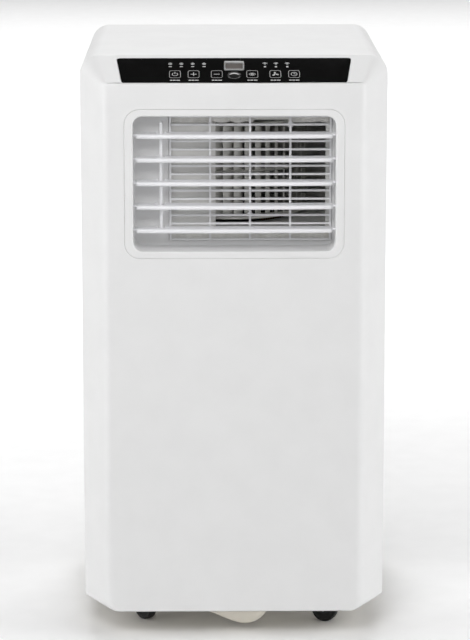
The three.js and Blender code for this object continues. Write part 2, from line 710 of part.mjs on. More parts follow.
// A motor can about Z, with its shaft out of the top
function motor({ radius, low, high }, shaftEnd) {
  const can = turned([
    [0, low], [radius * 0.8, low], [radius, low + 6], [radius, high - 6],
    [radius * 0.8, high], [0, high],
  ]);
  return join(can, bar("z", SHAFT_RADIUS, [high - CUT, shaftEnd], [0, 0], 10));
}

add("evaporator_scroll", "greyPlastic", evaporatorScroll());
const upperShaft = new THREE.Group();
upperShaft.position.set(EVAP.x, EVAP.y, 0);
airConditioner.add(upperShaft);
const upperWheel = blowerWheel(EVAP, EVAP.low, EVAP.high, EVAP.disc);
add("evaporator_blower_wheel", "greyPlastic", upperWheel, upperShaft);
add("evaporator_motor", "blackPaint", motor(UPPER_MOTOR, EVAP.disc + 11), upperShaft);

add("condenser_scroll", "greyPlastic", condenserScroll());
const lowerWheelDisc = COND.front + 14;
const lowerShaft = new THREE.Group();
lowerShaft.position.set(COND.x, 0, COND.z);
lowerShaft.rotation.x = -Math.PI / 2;
airConditioner.add(lowerShaft);
const lowerWheel = blowerWheel(COND, COND.front, COND.back, lowerWheelDisc);
add("condenser_blower_wheel", "greyPlastic", lowerWheel, lowerShaft);
add("condenser_motor", "blackPaint", motor(LOWER_MOTOR, lowerWheelDisc + 11), lowerShaft);

// ---------------------------------------------------------------- exhaust
function exhaustDuct() {
  const { left, right, front, back, low, high, wall } = DUCT;
  const mouth = box(
    [COND.x - COND.far, COND.x + COND.near],
    [COND.front0 + SHEET, COND.back0 - SHEET],
    [low - CUT, low + wall + CUT],
  );
  return cut(
    box([left, right], [front, back], [low, high]),
    box([left + wall, right - wall], [front + wall, back - wall], [low + wall, high - wall]),
    mouth,
    bar("y", EXHAUST.bore, [back - wall - CUT, back + CUT], [EXHAUST.x, EXHAUST.z], 32),
  );
}

function exhaustCollar() {
  const at = [EXHAUST.x, EXHAUST.z];
  const sleeve = bar("y", EXHAUST.sleeve, [DUCT.back + CUT, BACK], at, 28);
  const flange = bar("y", EXHAUST.flange, [REAR_OUT + GAP, REAR_OUT + 3], at, 28);
  return cut(join(sleeve, flange), bar("y", EXHAUST.bore, [DUCT.back, BACK + CUT], at, 28));
}

add("exhaust_duct", "greyPlastic", exhaustDuct());
add("exhaust_collar", "white", exhaustCollar());

// ---------------------------------------------------------------- intakes and filter
function intakeGrille({ half, low, high, margin, columns, rows }) {
  const inset = margin + 4;
  const outline = roundedRect([-half, half], [low, high], 6);
  const across = spans(-half + inset, half - inset, columns, 6);
  const up = spans(low + inset, high - inset, rows, 4);
  return slottedPlate(outline, [REAR_OUT + GAP, REAR_OUT + INTAKE_THICK], across, up);
}

// A ribbed frame with a thin mesh web across it
function airFilter() {
  const half = UPPER_INTAKE.half - UPPER_INTAKE.margin - 3;
  const low = UPPER_INTAKE.low + UPPER_INTAKE.margin + 3;
  const high = UPPER_INTAKE.high - UPPER_INTAKE.margin - 3;
  const outline = roundedRect([-half, half], [low, high], 4);
  const across = spans(-half + 5, half - 5, 3, 3);
  const up = spans(low + 5, high - 5, 3, 3);
  const ribs = slottedPlate(outline, [REAR_IN - 4.5, REAR_IN - 0.5], across, up);
  const web = box([-half + 1, half - 1], [REAR_IN - 3, REAR_IN - 2], [low + 1, high - 1]);
  return join(ribs, web);
}

add("upper_intake_grille", "white", intakeGrille(UPPER_INTAKE));
add("upper_filter", "filter", airFilter());
add("lower_intake_grille", "white", intakeGrille(LOWER_INTAKE));

// ---------------------------------------------------------------- heat exchangers and drain tray
const EVAPORATOR_COIL = { x: [-135, 135], y: [104, 138], z: [419, 640] };
const CONDENSER_COIL = { x: [-150, 74], y: [96, 132], z: [66, 238] };
const END_PLATE = { thick: 1.5, past: 3 };
const TRAY = { front: -104, back: REAR_IN - 7, low: 396, high: 416, wall: 3 };
const PIPE_NOTCH = { left: 144, front: 74, back: 134 };

// A block of fins between two end plates
function coil({ x: [x0, x1], y: [y0, y1], z: [z0, z1] }) {
  const { thick, past } = END_PLATE;
  const endPlate = (x) => box([x, x + thick], [y0 - past, y1 + past], [z0 - past, z1 + past]);
  return join(box([x0 + 1, x1 - 1], [y0, y1], [z0, z1]), endPlate(x0), endPlate(x1 - thick));
}

function drainTray() {
  const { front, back, low, high, wall } = TRAY;
  const half = halfWidthAt(back) - WALL - CUT;
  const tray = cut(
    box([-half, half], [front, back], [low, high]),
    box([-half + wall, half - wall], [front + wall, back - wall], [low + wall, high + CUT]),
  );
  const spout = bar("y", DRAIN.hole + 2.5, [back - 2, REAR_IN - 1], DRAIN.upper, 12);
  const bore = bar("y", DRAIN.hole, [back - 6, REAR_IN], DRAIN.upper, 12);
  const pipeNotch = box(
    [PIPE_NOTCH.left, half + CUT],
    [PIPE_NOTCH.front, PIPE_NOTCH.back],
    [low - CUT, high + CUT],
  );
  return cut(join(tray, spout), bore, pipeNotch);
}

function drainPlug([x, z], stemStart) {
  const cap = bar("y", DRAIN.cap, [REAR_OUT + GAP, REAR_OUT + 5], [x, z], 16);
  const stem = bar("y", DRAIN.stem, [stemStart, REAR_OUT + 1], [x, z], 12);
  return join(cap, stem);
}

add("evaporator_coil", "fins", coil(EVAPORATOR_COIL));
add("condenser_coil", "fins", coil(CONDENSER_COIL));
add("drain_tray", "beige", drainTray());
add("upper_drain_plug", "rubber", drainPlug(DRAIN.upper, REAR_IN - 6));
add("lower_drain_plug", "rubber", drainPlug(DRAIN.lower, PAN.back - 4));

// ---------------------------------------------------------------- refrigeration circuit
const COMPRESSOR = { x: 98, y: 22, radius: 52, low: 52, high: 250 };
const FOOT = { past: 10, half: 9, thick: 4, bushRadius: 8 };
const ACCUMULATOR = { x: 103, y: 102, radius: 20, low: 110, high: 224 };

function compressor() {
  const { radius, low, high } = COMPRESSOR;
  const can = turned([
    [0, low + 8], [radius * 0.8, low + 8], [radius, low + 22], [radius, high - 22],
    [radius * 0.86, high - 8], [radius * 0.5, high], [0, high],
  ]);
  const feet = [0, 1, 2].map((i) => {
    const leg = box([0, radius + FOOT.past], [-FOOT.half, FOOT.half], [low + 5, low + 5 + FOOT.thick]);
    const bush = bar("z", FOOT.bushRadius, [PAN.floor + PAN.thick + GAP, low + 6], [radius, 0], 12);
    return join(leg, bush).rotateZ(Math.PI / 2 + (i / 3) * Math.PI * 2);
  });
  return join(can, ...feet).translate(COMPRESSOR.x, COMPRESSOR.y, 0);
}

function accumulator() {
  const { x, y, radius, low, high } = ACCUMULATOR;
  const can = turned([
    [0, low], [radius * 0.5, low], [radius, low + 14], [radius, high - 14], [radius * 0.5, high], [0, high],
  ], 20);
  return can.translate(x, y, 0);
}

add("compressor", "blackPaint", compressor());
add("accumulator", "blackPaint", accumulator());
add("suction_pipe", "copper", tube([
  [136.5, 112, 450], [141, 112, 450], [152, 108, 444], [157, 104, 428], [157, 100, 396],
  [154, 100, 320], [140, 101, 268], [112, 102, 262], [103, 102, 248], [103, 102, 226],
], 5, 28));
add("discharge_pipe", "copper", tube([
  [98, 22, 251.5], [98, 22, 262], [97, 28, 282], [94, 48, 290], [87, 84, 274], [84, 108, 242],
  [82, 114, 224], [79, 114, 218], [76, 114, 218],
], 4, 24));
add("capillary_tube", "copper", tube([
  [75, 120, 84], [80, 120, 84], [94, 134, 88], [128, 140, 120], [150, 138, 220], [158, 128, 330],
  [158, 122, 396], [156, 122, 424], [146, 122, 433], [136.5, 122, 434],
], 2, 30, 3));

// ---------------------------------------------------------------- electrics
const ELECTRICAL_BOX = { x: [64, 162], y: [-104, -62], z: [276, 388], wall: 2 };

// A sheet-metal tray, open towards the back
function electricalBox() {
  const { x, y, z, wall } = ELECTRICAL_BOX;
  const inner = ([from, to]) => [from + wall, to - wall];
  return cut(box(x, y, z), box(inner(x), [y[0] + wall, y[1] + CUT], inner(z)));
}

function cordGland() {
  const at = [GLAND.x, GLAND.z];
  const flange = bar("y", GLAND.flange, [REAR_OUT + GAP, REAR_OUT + 4], at, 16);
  const barrel = bar("y", GLAND.hole - GAP, [REAR_IN - 6, REAR_OUT + 1], at, 12);
  return cut(join(flange, barrel), bar("y", GLAND.bore, [REAR_IN - 7, REAR_OUT + 5], at, 12));
}

add("electrical_box", "steel", electricalBox());
add("cord_gland", "blackPlastic", cordGland());

export default airConditioner;
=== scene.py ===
import json
import math
from math import cos, pi, radians, sin

import bmesh
import bpy
from mathutils import Matrix, Vector, noise


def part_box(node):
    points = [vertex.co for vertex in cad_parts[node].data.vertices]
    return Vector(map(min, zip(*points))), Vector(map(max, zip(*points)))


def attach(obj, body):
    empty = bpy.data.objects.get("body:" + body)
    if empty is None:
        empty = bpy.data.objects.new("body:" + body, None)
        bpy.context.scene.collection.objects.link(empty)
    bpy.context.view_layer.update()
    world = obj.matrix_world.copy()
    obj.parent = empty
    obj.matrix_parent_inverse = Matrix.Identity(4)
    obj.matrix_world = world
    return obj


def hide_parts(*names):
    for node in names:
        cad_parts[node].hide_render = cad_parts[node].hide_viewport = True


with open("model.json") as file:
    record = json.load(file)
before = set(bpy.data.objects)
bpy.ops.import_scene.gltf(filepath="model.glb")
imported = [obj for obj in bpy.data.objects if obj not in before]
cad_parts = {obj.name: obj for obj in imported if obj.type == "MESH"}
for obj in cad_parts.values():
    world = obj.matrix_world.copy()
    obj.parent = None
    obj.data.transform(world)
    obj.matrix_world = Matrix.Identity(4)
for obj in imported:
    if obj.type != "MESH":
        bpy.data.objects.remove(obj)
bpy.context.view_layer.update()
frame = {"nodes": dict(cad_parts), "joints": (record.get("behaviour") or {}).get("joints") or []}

# Lengths below are in millimetres unless a name says otherwise; objects are made in metres.
MM = 0.001
NODES = frame["nodes"]
JOINTS = {joint["name"]: joint for joint in frame["joints"]}
COLLECTION = bpy.context.scene.collection
TAU = 2 * pi


# ---- outlines
def arc(centre, radius, start, end, steps):
    """Points on an arc, angles in degrees, both ends included."""
    angles = [radians(start + (end - start) * i / steps) for i in range(steps + 1)]
    return [(centre[0] + radius * cos(a), centre[1] + radius * sin(a)) for a in angles]


def circle(radius, centre, steps):
    return arc(centre, radius, 0, 360, steps)[:-1]


def ellipse(half_w, half_h, centre, steps=40):
    return [(centre[0] + half_w * cos(TAU * i / steps), centre[1] + half_h * sin(TAU * i / steps))
            for i in range(steps)]


def rectangle(centre, half_w, half_h):
    corners = ((-1, -1), (1, -1), (1, 1), (-1, 1))
    return [(centre[0] + sx * half_w, centre[1] + sy * half_h) for sx, sy in corners]


def rounded_rect(half_w, half_h, radius, centre, steps=6):
    points = []
    for sx, sy, start in ((1, -1, -90), (1, 1, 0), (-1, 1, 90), (-1, -1, 180)):
        corner = (centre[0] + sx * (half_w - radius), centre[1] + sy * (half_h - radius))
        points += arc(corner, radius, start, start + 90, steps)
    return points


def arch(half, low, high, radius, steps=14, foot=0.0):
    """An outline with rounded top corners; its bottom corners are square unless a foot radius is given."""
    if foot:
        points = arc((foot - half, low + foot), foot, 180, 270, 6)
        points += arc((half - foot, low + foot), foot, 270, 360, 6)
    else:
        points = [(-half, low), (half, low)]
    points += arc((half - radius, high - radius), radius, 0, 90, steps)
    return points + arc((radius - half, high - radius), radius, 90, 180, steps)


CORNER_POINTS = 6


def rounded_corners(points, radius):
    """Replaces each corner of a polygon by a short curve of CORNER_POINTS points."""
    result = []
    for i, corner in enumerate(points):
        corner = Vector(corner)
        before = (Vector(points[i - 1]) - corner).normalized()
        after = (Vector(points[(i + 1) % len(points)]) - corner).normalized()
        start, end = corner + before * radius, corner + after * radius
        for k in range(CORNER_POINTS):
            t = k / (CORNER_POINTS - 1)
            result.append(tuple(start * (1 - t) ** 2 + corner * 2 * t * (1 - t) + end * t * t))
    return result


# ---- places from the frame
class Box:
    """A node's box in millimetres."""

    def __init__(self, node):
        low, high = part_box(node)
        self.low, self.high = low / MM, high / MM
        self.middle = (self.low + self.high) / 2
        self.half = (self.high - self.low) / 2

    def outline(self, radius, grow=0.0, axes="xz", steps=6):
        """The box's section as a rounded rectangle, larger by grow on every side."""
        half = [getattr(self.half, axis) + grow for axis in axes]
        return rounded_rect(*half, radius, [getattr(self.middle, axis) for axis in axes], steps)


def pivot_mm(joint):
    return Vector(JOINTS[joint]["pos_m"]) / MM


WRAP, FACE = Box("casing_wrap"), Box("front_panel")
HALF, RIM_Y, BACK = WRAP.high.x, WRAP.low.y, WRAP.high.y
TOP, BASE = WRAP.high.z, WRAP.low.z
FRONT, FACE_BASE = FACE.low.y, FACE.low.z
RIM_DEPTH = RIM_Y - FRONT
REAR_OUT = Box("rear_panel").high.y
PAN_FLOOR = 34.0

# The bevel runs from the flat face back to the rim, where the wrap starts.
SIDE_INSET = 28.0
TOP_DROP = 25.0
BEVEL_TILT = math.atan2(TOP_DROP, RIM_DEPTH)
RIM_RADIUS = 21.0
FACE_RADIUS = 3.0
FOOT_RADIUS = 11.0
# Rounding of the edge between the face and the bevel, at the sides and at the top.
SIDE_FILLET = 10.0
TOP_FILLET = 2.2
# How far each side wall draws in from the rim to the back.
SIDE_DRAFT = 5.0
WALL = 2.6

BEZEL_RADIUS = 17.0
HAND_RADIUS = 8
BLADES = [f"louver_blade_{i}" for i in range(1, 6)]
CRANK_Y = pivot_mm("louver_link_pivot").y
KEYS = [node for node in NODES if node.startswith("button_")]
CASTERS = ("front_left", "front_right", "rear_left", "rear_right")


# ---- materials
def map_range(tree, source, limits, curve="LINEAR"):
    """Maps a value from the first two limits to the last two."""
    node = tree.nodes.new("ShaderNodeMapRange")
    node.interpolation_type = curve
    for key, value in zip(("From Min", "From Max", "To Min", "To Max"), limits):
        node.inputs[key].default_value = value
    tree.links.new(source, node.inputs["Value"])
    return node.outputs["Result"]


class Shader:
    """A Principled material whose base, roughness and relief come from noise over the object."""

    def __init__(self, name, dark, light, roughness, metallic=0.0, mottle=25.0, spread=0.06):
        self.material = bpy.data.materials.new(name)
        self.material.use_nodes = True
        self.tree = self.material.node_tree
        self.bsdf = self.tree.nodes["Principled BSDF"]
        self.bsdf.inputs["Metallic"].default_value = metallic
        self.place = self.add("ShaderNodeTexCoord").outputs["Object"]
        tone = self.stretch(self.noise(mottle, 4.0), 0.35, 0.65, 0.0, 1.0)
        self.link(self.mix(tone, dark, light), self.bsdf.inputs["Base Color"])
        rough = self.noise(mottle * 3.1, 3.0)
        self.link(self.stretch(rough, 0.2, 0.8, roughness - spread, roughness + spread),
                  self.bsdf.inputs["Roughness"])

    def add(self, kind, **settings):
        node = self.tree.nodes.new(kind)
        for key, value in settings.items():
            setattr(node, key, value)
        return node

    def link(self, source, target):
        self.tree.links.new(source, target)

    def noise(self, scale, detail):
        node = self.add("ShaderNodeTexNoise")
        node.inputs["Scale"].default_value = scale
        node.inputs["Detail"].default_value = detail
        self.link(self.place, node.inputs["Vector"])
        return node.outputs["Fac"]

    def stretch(self, source, *limits):
        return map_range(self.tree, source, limits)

    def mix(self, factor, first, second):
        node = self.add("ShaderNodeMix", data_type="RGBA")
        self.link(factor, node.inputs["Factor"])
        for key, value in (("A", first), ("B", second)):
            socket = [s for s in node.inputs if s.name == key and s.type == "RGBA"][0]
            socket.default_value = (*value, 1.0)
        return [s for s in node.outputs if s.type == "RGBA"][0]

    def bump(self, height, distance, strength):
        """Adds a relief on top of the earlier ones; its distance is in metres."""
        node = self.add("ShaderNodeBump")
        node.inputs["Strength"].default_value = strength
        node.inputs["Distance"].default_value = distance
        self.link(height, node.inputs["Height"])
        previous = self.bsdf.inputs["Normal"]
        if previous.is_linked:
            self.link(previous.links[0].from_socket, node.inputs["Normal"])
        self.link(node.outputs["Normal"], previous)
        return self

    def grain(self, size_mm, height_mm, strength):
        return self.bump(self.noise(1 / (size_mm * MM), 2.0), height_mm * MM, strength)

    def bands(self, axis, pitch_mm):
        node = self.add("ShaderNodeTexWave", bands_direction=axis, wave_profile="SIN")
        node.inputs["Scale"].default_value = TAU / (20 * pitch_mm * MM)
        self.link(self.place, node.inputs["Vector"])
        return node.outputs["Fac"]


def moulded(name, shade, roughness, tint=(1, 1, 1), grain=1.1, depth=0.05, strength=0.35, vary=0.05):
    """Injection-moulded plastic with a spark-eroded grain."""
    dark = tuple(shade * (1 - vary) * t for t in tint)
    light = tuple(min(1.0, shade * (1 + vary)) * t for t in tint)
    return Shader(name, dark, light, roughness).grain(grain, depth, strength)


def gloss_black(name, shade, roughness, shine):
    shader = Shader(name, (shade, shade, shade), (shade * 1.3,) * 3, roughness, mottle=60, spread=0.03)
    shader.bsdf.inputs["Specular IOR Level"].default_value = shine
    return shader.grain(0.5, 0.004, 0.3)


def metal(name, dark, light, roughness, brush=None):
    shader = Shader(name, dark, light, roughness, metallic=1.0, mottle=60)
    if brush:
        shader.bump(shader.bands(brush, 0.4), 0.01 * MM, 0.3)
    return shader.grain(0.6, 0.01, 0.25)


def foam(name):
    """Cut foam strip: pale, with open cells."""
    shader = Shader(name, (0.76, 0.75, 0.71), (0.88, 0.87, 0.84), 0.9, mottle=90)
    cells = shader.add("ShaderNodeTexVoronoi", feature="F1")
    cells.inputs["Scale"].default_value = 700
    shader.link(shader.place, cells.inputs["Vector"])
    return shader.bump(cells.outputs["Distance"], 0.6 * MM, 0.8)


def woven(name):
    """Nylon mesh seen as a fine square weave."""
    shader = Shader(name, (0.030, 0.032, 0.035), (0.060, 0.062, 0.066), 0.75, mottle=120)
    for axis in ("X", "Z"):
        shader.bump(shader.bands(axis, 0.9), 0.3 * MM, 0.9)
    return shader


def finned(name):
    shader = metal(name, (0.55, 0.56, 0.57), (0.72, 0.73, 0.74), 0.38)
    return shader.bump(shader.bands("Z", 3.2), 0.15 * MM, 0.4)


def solder_mask(name):
    shader = Shader(name, (0.010, 0.085, 0.030), (0.020, 0.150, 0.060), 0.35, mottle=180)
    return shader.grain(0.8, 0.03, 0.5)


# moulded: name, shade, roughness, tint, grain size, grain depth, grain strength, variation of the shade.
LOOKS = {
    "casing": moulded("casing_white_plastic", 0.76, 0.52, (1, 1, 1.0), 1.0, 0.05, 0.32, 0.012),
    "louvre": moulded("louvre_white_plastic", 0.84, 0.40, (0.975, 0.975, 1.0), 0.9, 0.02, 0.2, 0.012),
    "grille": moulded("grille_white_plastic", 0.90, 0.42, (0.985, 0.985, 1.0), 0.9, 0.02, 0.2, 0.015),
    "duct": moulded("duct_pale_plastic", 0.80, 0.66, (1.0, 0.995, 0.965), 1.6, 0.08, 0.5, 0.05),
    "wheel": moulded("blower_grey_plastic", 0.72, 0.5, (1.0, 0.99, 0.93), 1.2, 0.04, 0.4, 0.08),
    "dark_duct": moulded("duct_grey_plastic", 0.24, 0.6, (1, 1, 1), 1.4, 0.06, 0.5, 0.08),
    "natural": moulded("natural_abs_plastic", 0.72, 0.55, (1.0, 0.945, 0.83), 1.4, 0.05, 0.4, 0.06),
    "black": moulded("black_nylon", 0.014, 0.5, (1, 1, 1.05), 0.8, 0.03, 0.4, 0.2),
    "rubber": moulded("black_rubber", 0.011, 0.72, (1, 1, 1), 0.9, 0.06, 0.6, 0.25),
    "fascia": gloss_black("fascia_gloss_black", 0.0034, 0.14, 0.05),
    "key": gloss_black("key_gloss_black", 0.0036, 0.14, 0.05),
    "smoked": moulded("smoked_window", 0.12, 0.22, (1.0, 0.90, 0.84), 0.5, 0.004, 0.3, 0.08),
    "lens": gloss_black("receiver_lens", 0.012, 0.15, 0.3),
    "bezel": metal("silver_bezel", (0.34, 0.34, 0.34), (0.46, 0.46, 0.46), 0.36),
    "lamp": moulded("lamp_frosted", 0.42, 0.35, (0.97, 0.99, 1.0), 0.5, 0.02, 0.3, 0.1),
    "print": Shader("printed_grey", (0.4675,) * 3, (0.55,) * 3, 0.5, mottle=400).grain(0.3, 0.003, 0.4),
    "steel": metal("zinc_plated_steel", (0.42, 0.43, 0.45), (0.60, 0.61, 0.62), 0.34),
    "brushed": metal("galvanised_sheet", (0.45, 0.46, 0.47), (0.62, 0.63, 0.64), 0.42, "X"),
    "paint": moulded("satin_black_paint", 0.020, 0.42, (1, 1, 1.05), 1.2, 0.05, 0.4, 0.3),
    "fins": finned("aluminium_fins"),
    "copper": metal("drawn_copper", (0.42, 0.17, 0.09), (0.66, 0.32, 0.19), 0.34),
    "board": solder_mask("solder_mask"),
    "mesh": woven("filter_mesh"),
    "foam": foam("foam_strip"),
}


# ---- mesh helpers
def bevel_point(x, s, n):
    """A point on the control panel: s up the sloped face from its lower edge, n out of it."""
    y = FRONT + s * cos(BEVEL_TILT) - n * sin(BEVEL_TILT)
    z = TOP - TOP_DROP + s * sin(BEVEL_TILT) + n * cos(BEVEL_TILT)
    return Vector((x, y, z))


PLANES = {
    "xz": lambda u, v, w: Vector((u, w, v)),
    "xy": lambda u, v, w: Vector((u, v, w)),
    "yz": lambda u, v, w: Vector((w, u, v)),
    "panel": bevel_point,
}
ACROSS = {"x": "yz", "y": "xz", "z": "xy"}


def to_object(name, bm):
    bmesh.ops.remove_doubles(bm, verts=bm.verts, dist=1e-4)
    bmesh.ops.recalc_face_normals(bm, faces=bm.faces)
    bm.transform(Matrix.Scale(MM, 4))
    mesh = bpy.data.meshes.new(name)
    bm.to_mesh(mesh)
    bm.free()
    obj = bpy.data.objects.new(name, mesh)
    COLLECTION.objects.link(obj)
    return obj


def thicken(bm, along):
    made = bmesh.ops.extrude_face_region(bm, geom=bm.faces[:])["geom"]
    bmesh.ops.translate(bm, verts=[g for g in made if isinstance(g, bmesh.types.BMVert)], vec=along)


def plate(name, outline, low, high, plane="xz", holes=()):
    """A flat plate with holes, extruded from low to high across its plane."""
    bm = bmesh.new()
    edges = []
    for loop in (outline, *holes):
        verts = [bm.verts.new((u, v, low)) for u, v in loop]
        edges += [bm.edges.new((v, verts[i - 1])) for i, v in enumerate(verts)]
    if holes:
        bmesh.ops.triangle_fill(bm, edges=edges, use_beauty=True)
    else:
        bm.faces.new(verts)
    thicken(bm, (0, 0, high - low))
    for v in bm.verts:
        v.co = PLANES[plane](*v.co)
    return to_object(name, bm)


def block(name, low, high):
    outline = [(low[0], low[2]), (high[0], low[2]), (high[0], high[2]), (low[0], high[2])]
    return plate(name, outline, low[1], high[1])


def skin(name, rings, loop, around):
    """Skins rings of points; it may run on from the last ring to the first, and close each ring."""
    bm = bmesh.new()
    made = [[bm.verts.new(p) for p in ring] for ring in rings]
    if not loop:
        bm.faces.new(made[0])
        bm.faces.new(made[-1])
    for k in range(0 if loop else 1, len(made)):
        a, b = made[k - 1], made[k]
        for i in range(0 if around else 1, len(a)):
            bm.faces.new((a[i - 1], a[i], b[i], b[i - 1]))
    return to_object(name, bm)


def loft(name, rings, closed=False):
    """Skins closed outlines, with a cap at each end unless the last joins the first."""
    return skin(name, rings, closed, True)


def lathe(name, profile, axis, centre, segments):
    """A body of revolution from (radius, along) points; a profile off the axis is closed on itself."""
    turns = [(cos(TAU * i / segments), sin(TAU * i / segments)) for i in range(segments)]
    rings = [[PLANES[ACROSS[axis]](r * c, r * s, t) + Vector(centre) for r, t in profile] for c, s in turns]
    return skin(name, rings, True, profile[0][0] > 0)


def rod(name, axis, centre, radius, start, end, segments):
    return lathe(name, [(0, start), (radius, start), (radius, end), (0, end)], axis, centre, segments)


def turned(name, node, profile, segments):
    """A body turned about the line along y through a node's middle."""
    at = Box(node).middle
    return lathe(name, profile, "y", (at.x, 0, at.z), segments)


def apply_modifiers(obj):
    graph = bpy.context.evaluated_depsgraph_get()
    mesh = bpy.data.meshes.new_from_object(obj.evaluated_get(graph))
    obj.modifiers.clear()
    obj.data = mesh
    return obj


def combine(obj, *others, operation="DIFFERENCE"):
    for other in others:
        boolean = obj.modifiers.new("combine", "BOOLEAN")
        boolean.operation = operation
        boolean.solver = "EXACT"
        boolean.object = other
    apply_modifiers(obj)
    for other in others:
        bpy.data.objects.remove(other)
    return obj


def merge(name, objects):
    """Joins separate closed pieces that are fixed to each other into one mesh."""
    bm = bmesh.new()
    for obj in objects:
        mesh = obj.data.copy()
        mesh.transform(obj.matrix_world)
        bm.from_mesh(mesh)
        bpy.data.objects.remove(obj)
    mesh = bpy.data.meshes.new(name)
    bm.to_mesh(mesh)
    bm.free()
    obj = bpy.data.objects.new(name, mesh)
    COLLECTION.objects.link(obj)
    return obj


def polish(obj, radius=0.0, segments=3, angle=32):
    """Rounds the sharp edges and keeps the broad faces flat in the shading."""
    for polygon in obj.data.polygons:
        polygon.use_smooth = True
    if radius:
        bevel = obj.modifiers.new("edges", "BEVEL")
        bevel.width = radius * MM
        bevel.segments = segments
        bevel.limit_method = "ANGLE"
        bevel.angle_limit = radians(angle)
        bevel.use_clamp_overlap = False
        bevel.harden_normals = False
    normals = obj.modifiers.new("normals", "WEIGHTED_NORMAL")
    normals.mode = "FACE_AREA_WITH_ANGLE"
    normals.weight = 60
    normals.keep_sharp = False
    return obj


def polish_now(obj, radius):
    """Rounds a piece before it is merged with others."""
    return apply_modifiers(polish(obj, radius, 2, 40))


def wear(mesh, look):
    mesh.materials.clear()
    mesh.materials.append(LOOKS[look].material)


def fit(obj, look, *replaced, body="cabinet"):
    """Gives a finished piece its look, its body and the nodes it stands for."""
    wear(obj.data, look)
    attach(obj, body)
    if replaced:
        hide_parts(*replaced)


# ---- casing
def drawn_in(depth, inset, fillet):
    """How far one edge of the front stands inside the rim at a depth, its fillet included."""
    turn = math.atan2(RIM_DEPTH, inset)
    if depth >= fillet * (1 - cos(turn)):
        return inset * (1 - depth / RIM_DEPTH)
    swing = math.acos(1 - depth / fillet)
    return inset + fillet * (math.tan(turn / 2) - sin(swing))


def front_depths():
    depths = {0.0}
    for inset, fillet in ((SIDE_INSET, SIDE_FILLET), (TOP_DROP, TOP_FILLET)):
        turn = math.atan2(RIM_DEPTH, inset)
        depths |= {fillet * (1 - cos(turn * i / 8)) for i in range(1, 9)}
    return sorted(depths) + [14.0, 26.0, 38.0]


def front_rings(offset, overrun, end, foot_radius=0.0):
    """Outlines of the bevelled front, from the flat face back to the rim, drawn in by an offset."""
    slopes = (SIDE_INSET / RIM_DEPTH, TOP_DROP / RIM_DEPTH)
    side_shift, top_shift = (offset * (math.hypot(1, slope) - slope) for slope in slopes)
    rings = []
    for depth in front_depths() + [end]:
        back = depth / RIM_DEPTH
        side = drawn_in(depth, SIDE_INSET, SIDE_FILLET) + side_shift
        drop = drawn_in(depth, TOP_DROP, TOP_FILLET) + top_shift
        radius = max(FACE_RADIUS + (RIM_RADIUS - FACE_RADIUS) * back - offset * 0.8, 0.8)
        low = FACE_BASE + (BASE - FACE_BASE) * back - overrun
        outline = arch(HALF - side, low, TOP - drop, radius, foot=foot_radius * (1 - 0.96 * back))
        rings.append([Vector((x, FRONT + offset + depth, z)) for x, z in outline])
    return rings


RIM_POINTS = 24
RIM_AREA = 8000 * MM * MM


def finish_shell(shell, radius, node):
    """Cuts a shell's long U-shaped edge faces into triangles, which fill cleanly, and finishes it."""
    bm = bmesh.new()
    bm.from_mesh(shell.data)
    rims = [face for face in bm.faces if len(face.verts) > RIM_POINTS and face.calc_area() < RIM_AREA]
    bmesh.ops.triangulate(bm, faces=rims, ngon_method="EAR_CLIP")
    bm.to_mesh(shell.data)
    bm.free()
    fit(polish(shell, radius, 3, 40), "casing", node)


def front_panel():
    panel = loft("front_panel_shell", front_rings(0, 0, RIM_DEPTH - 0.3, FOOT_RADIUS))
    inner = loft("inner", front_rings(WALL, 12, RIM_DEPTH))
    hole = Box("louver_frame").outline(BEZEL_RADIUS + 0.1, 0.12, steps=10)
    cutter = plate("cutter", hole, FRONT - 4, FRONT + 8)
    pocket = plate("pocket", fascia_outline(0.35), -2.1, 6, "panel")
    window = plate("window", fascia_outline(-3.0), -8, 6, "panel")
    finish_shell(combine(panel, inner, cutter, pocket, window), 0.7, "front_panel")


def half_width_at(y):
    """Half the outer width at a depth: the side walls draw in towards the back."""
    return HALF - SIDE_DRAFT * (y - RIM_Y) / (BACK - RIM_Y)


def wrap_rings(offset, low, overrun):
    start, end, steps = RIM_Y - overrun, BACK + overrun, 8
    rings = []
    for i in range(steps + 1):
        y = start + (end - start) * i / steps
        outline = arch(half_width_at(y) - offset, low, TOP - offset, RIM_RADIUS - offset, 20)
        rings.append([Vector((x, y, z)) for x, z in outline])
    return rings


def casing_wrap():
    shell = loft("casing_wrap_shell", wrap_rings(0, BASE, 0))
    cutters = [loft("inner", wrap_rings(WALL, BASE - 5, 5))]
    for cup in (Box("left_handle_cup"), Box("right_handle_cup")):
        outline = cup.outline(HAND_RADIUS, 0.3, "yz", 8)
        cutters.append(plate("hand_hole", outline, cup.low.x - 6, cup.high.x + 6, "yz"))
    finish_shell(combine(shell, *cutters), 0.8, "casing_wrap")


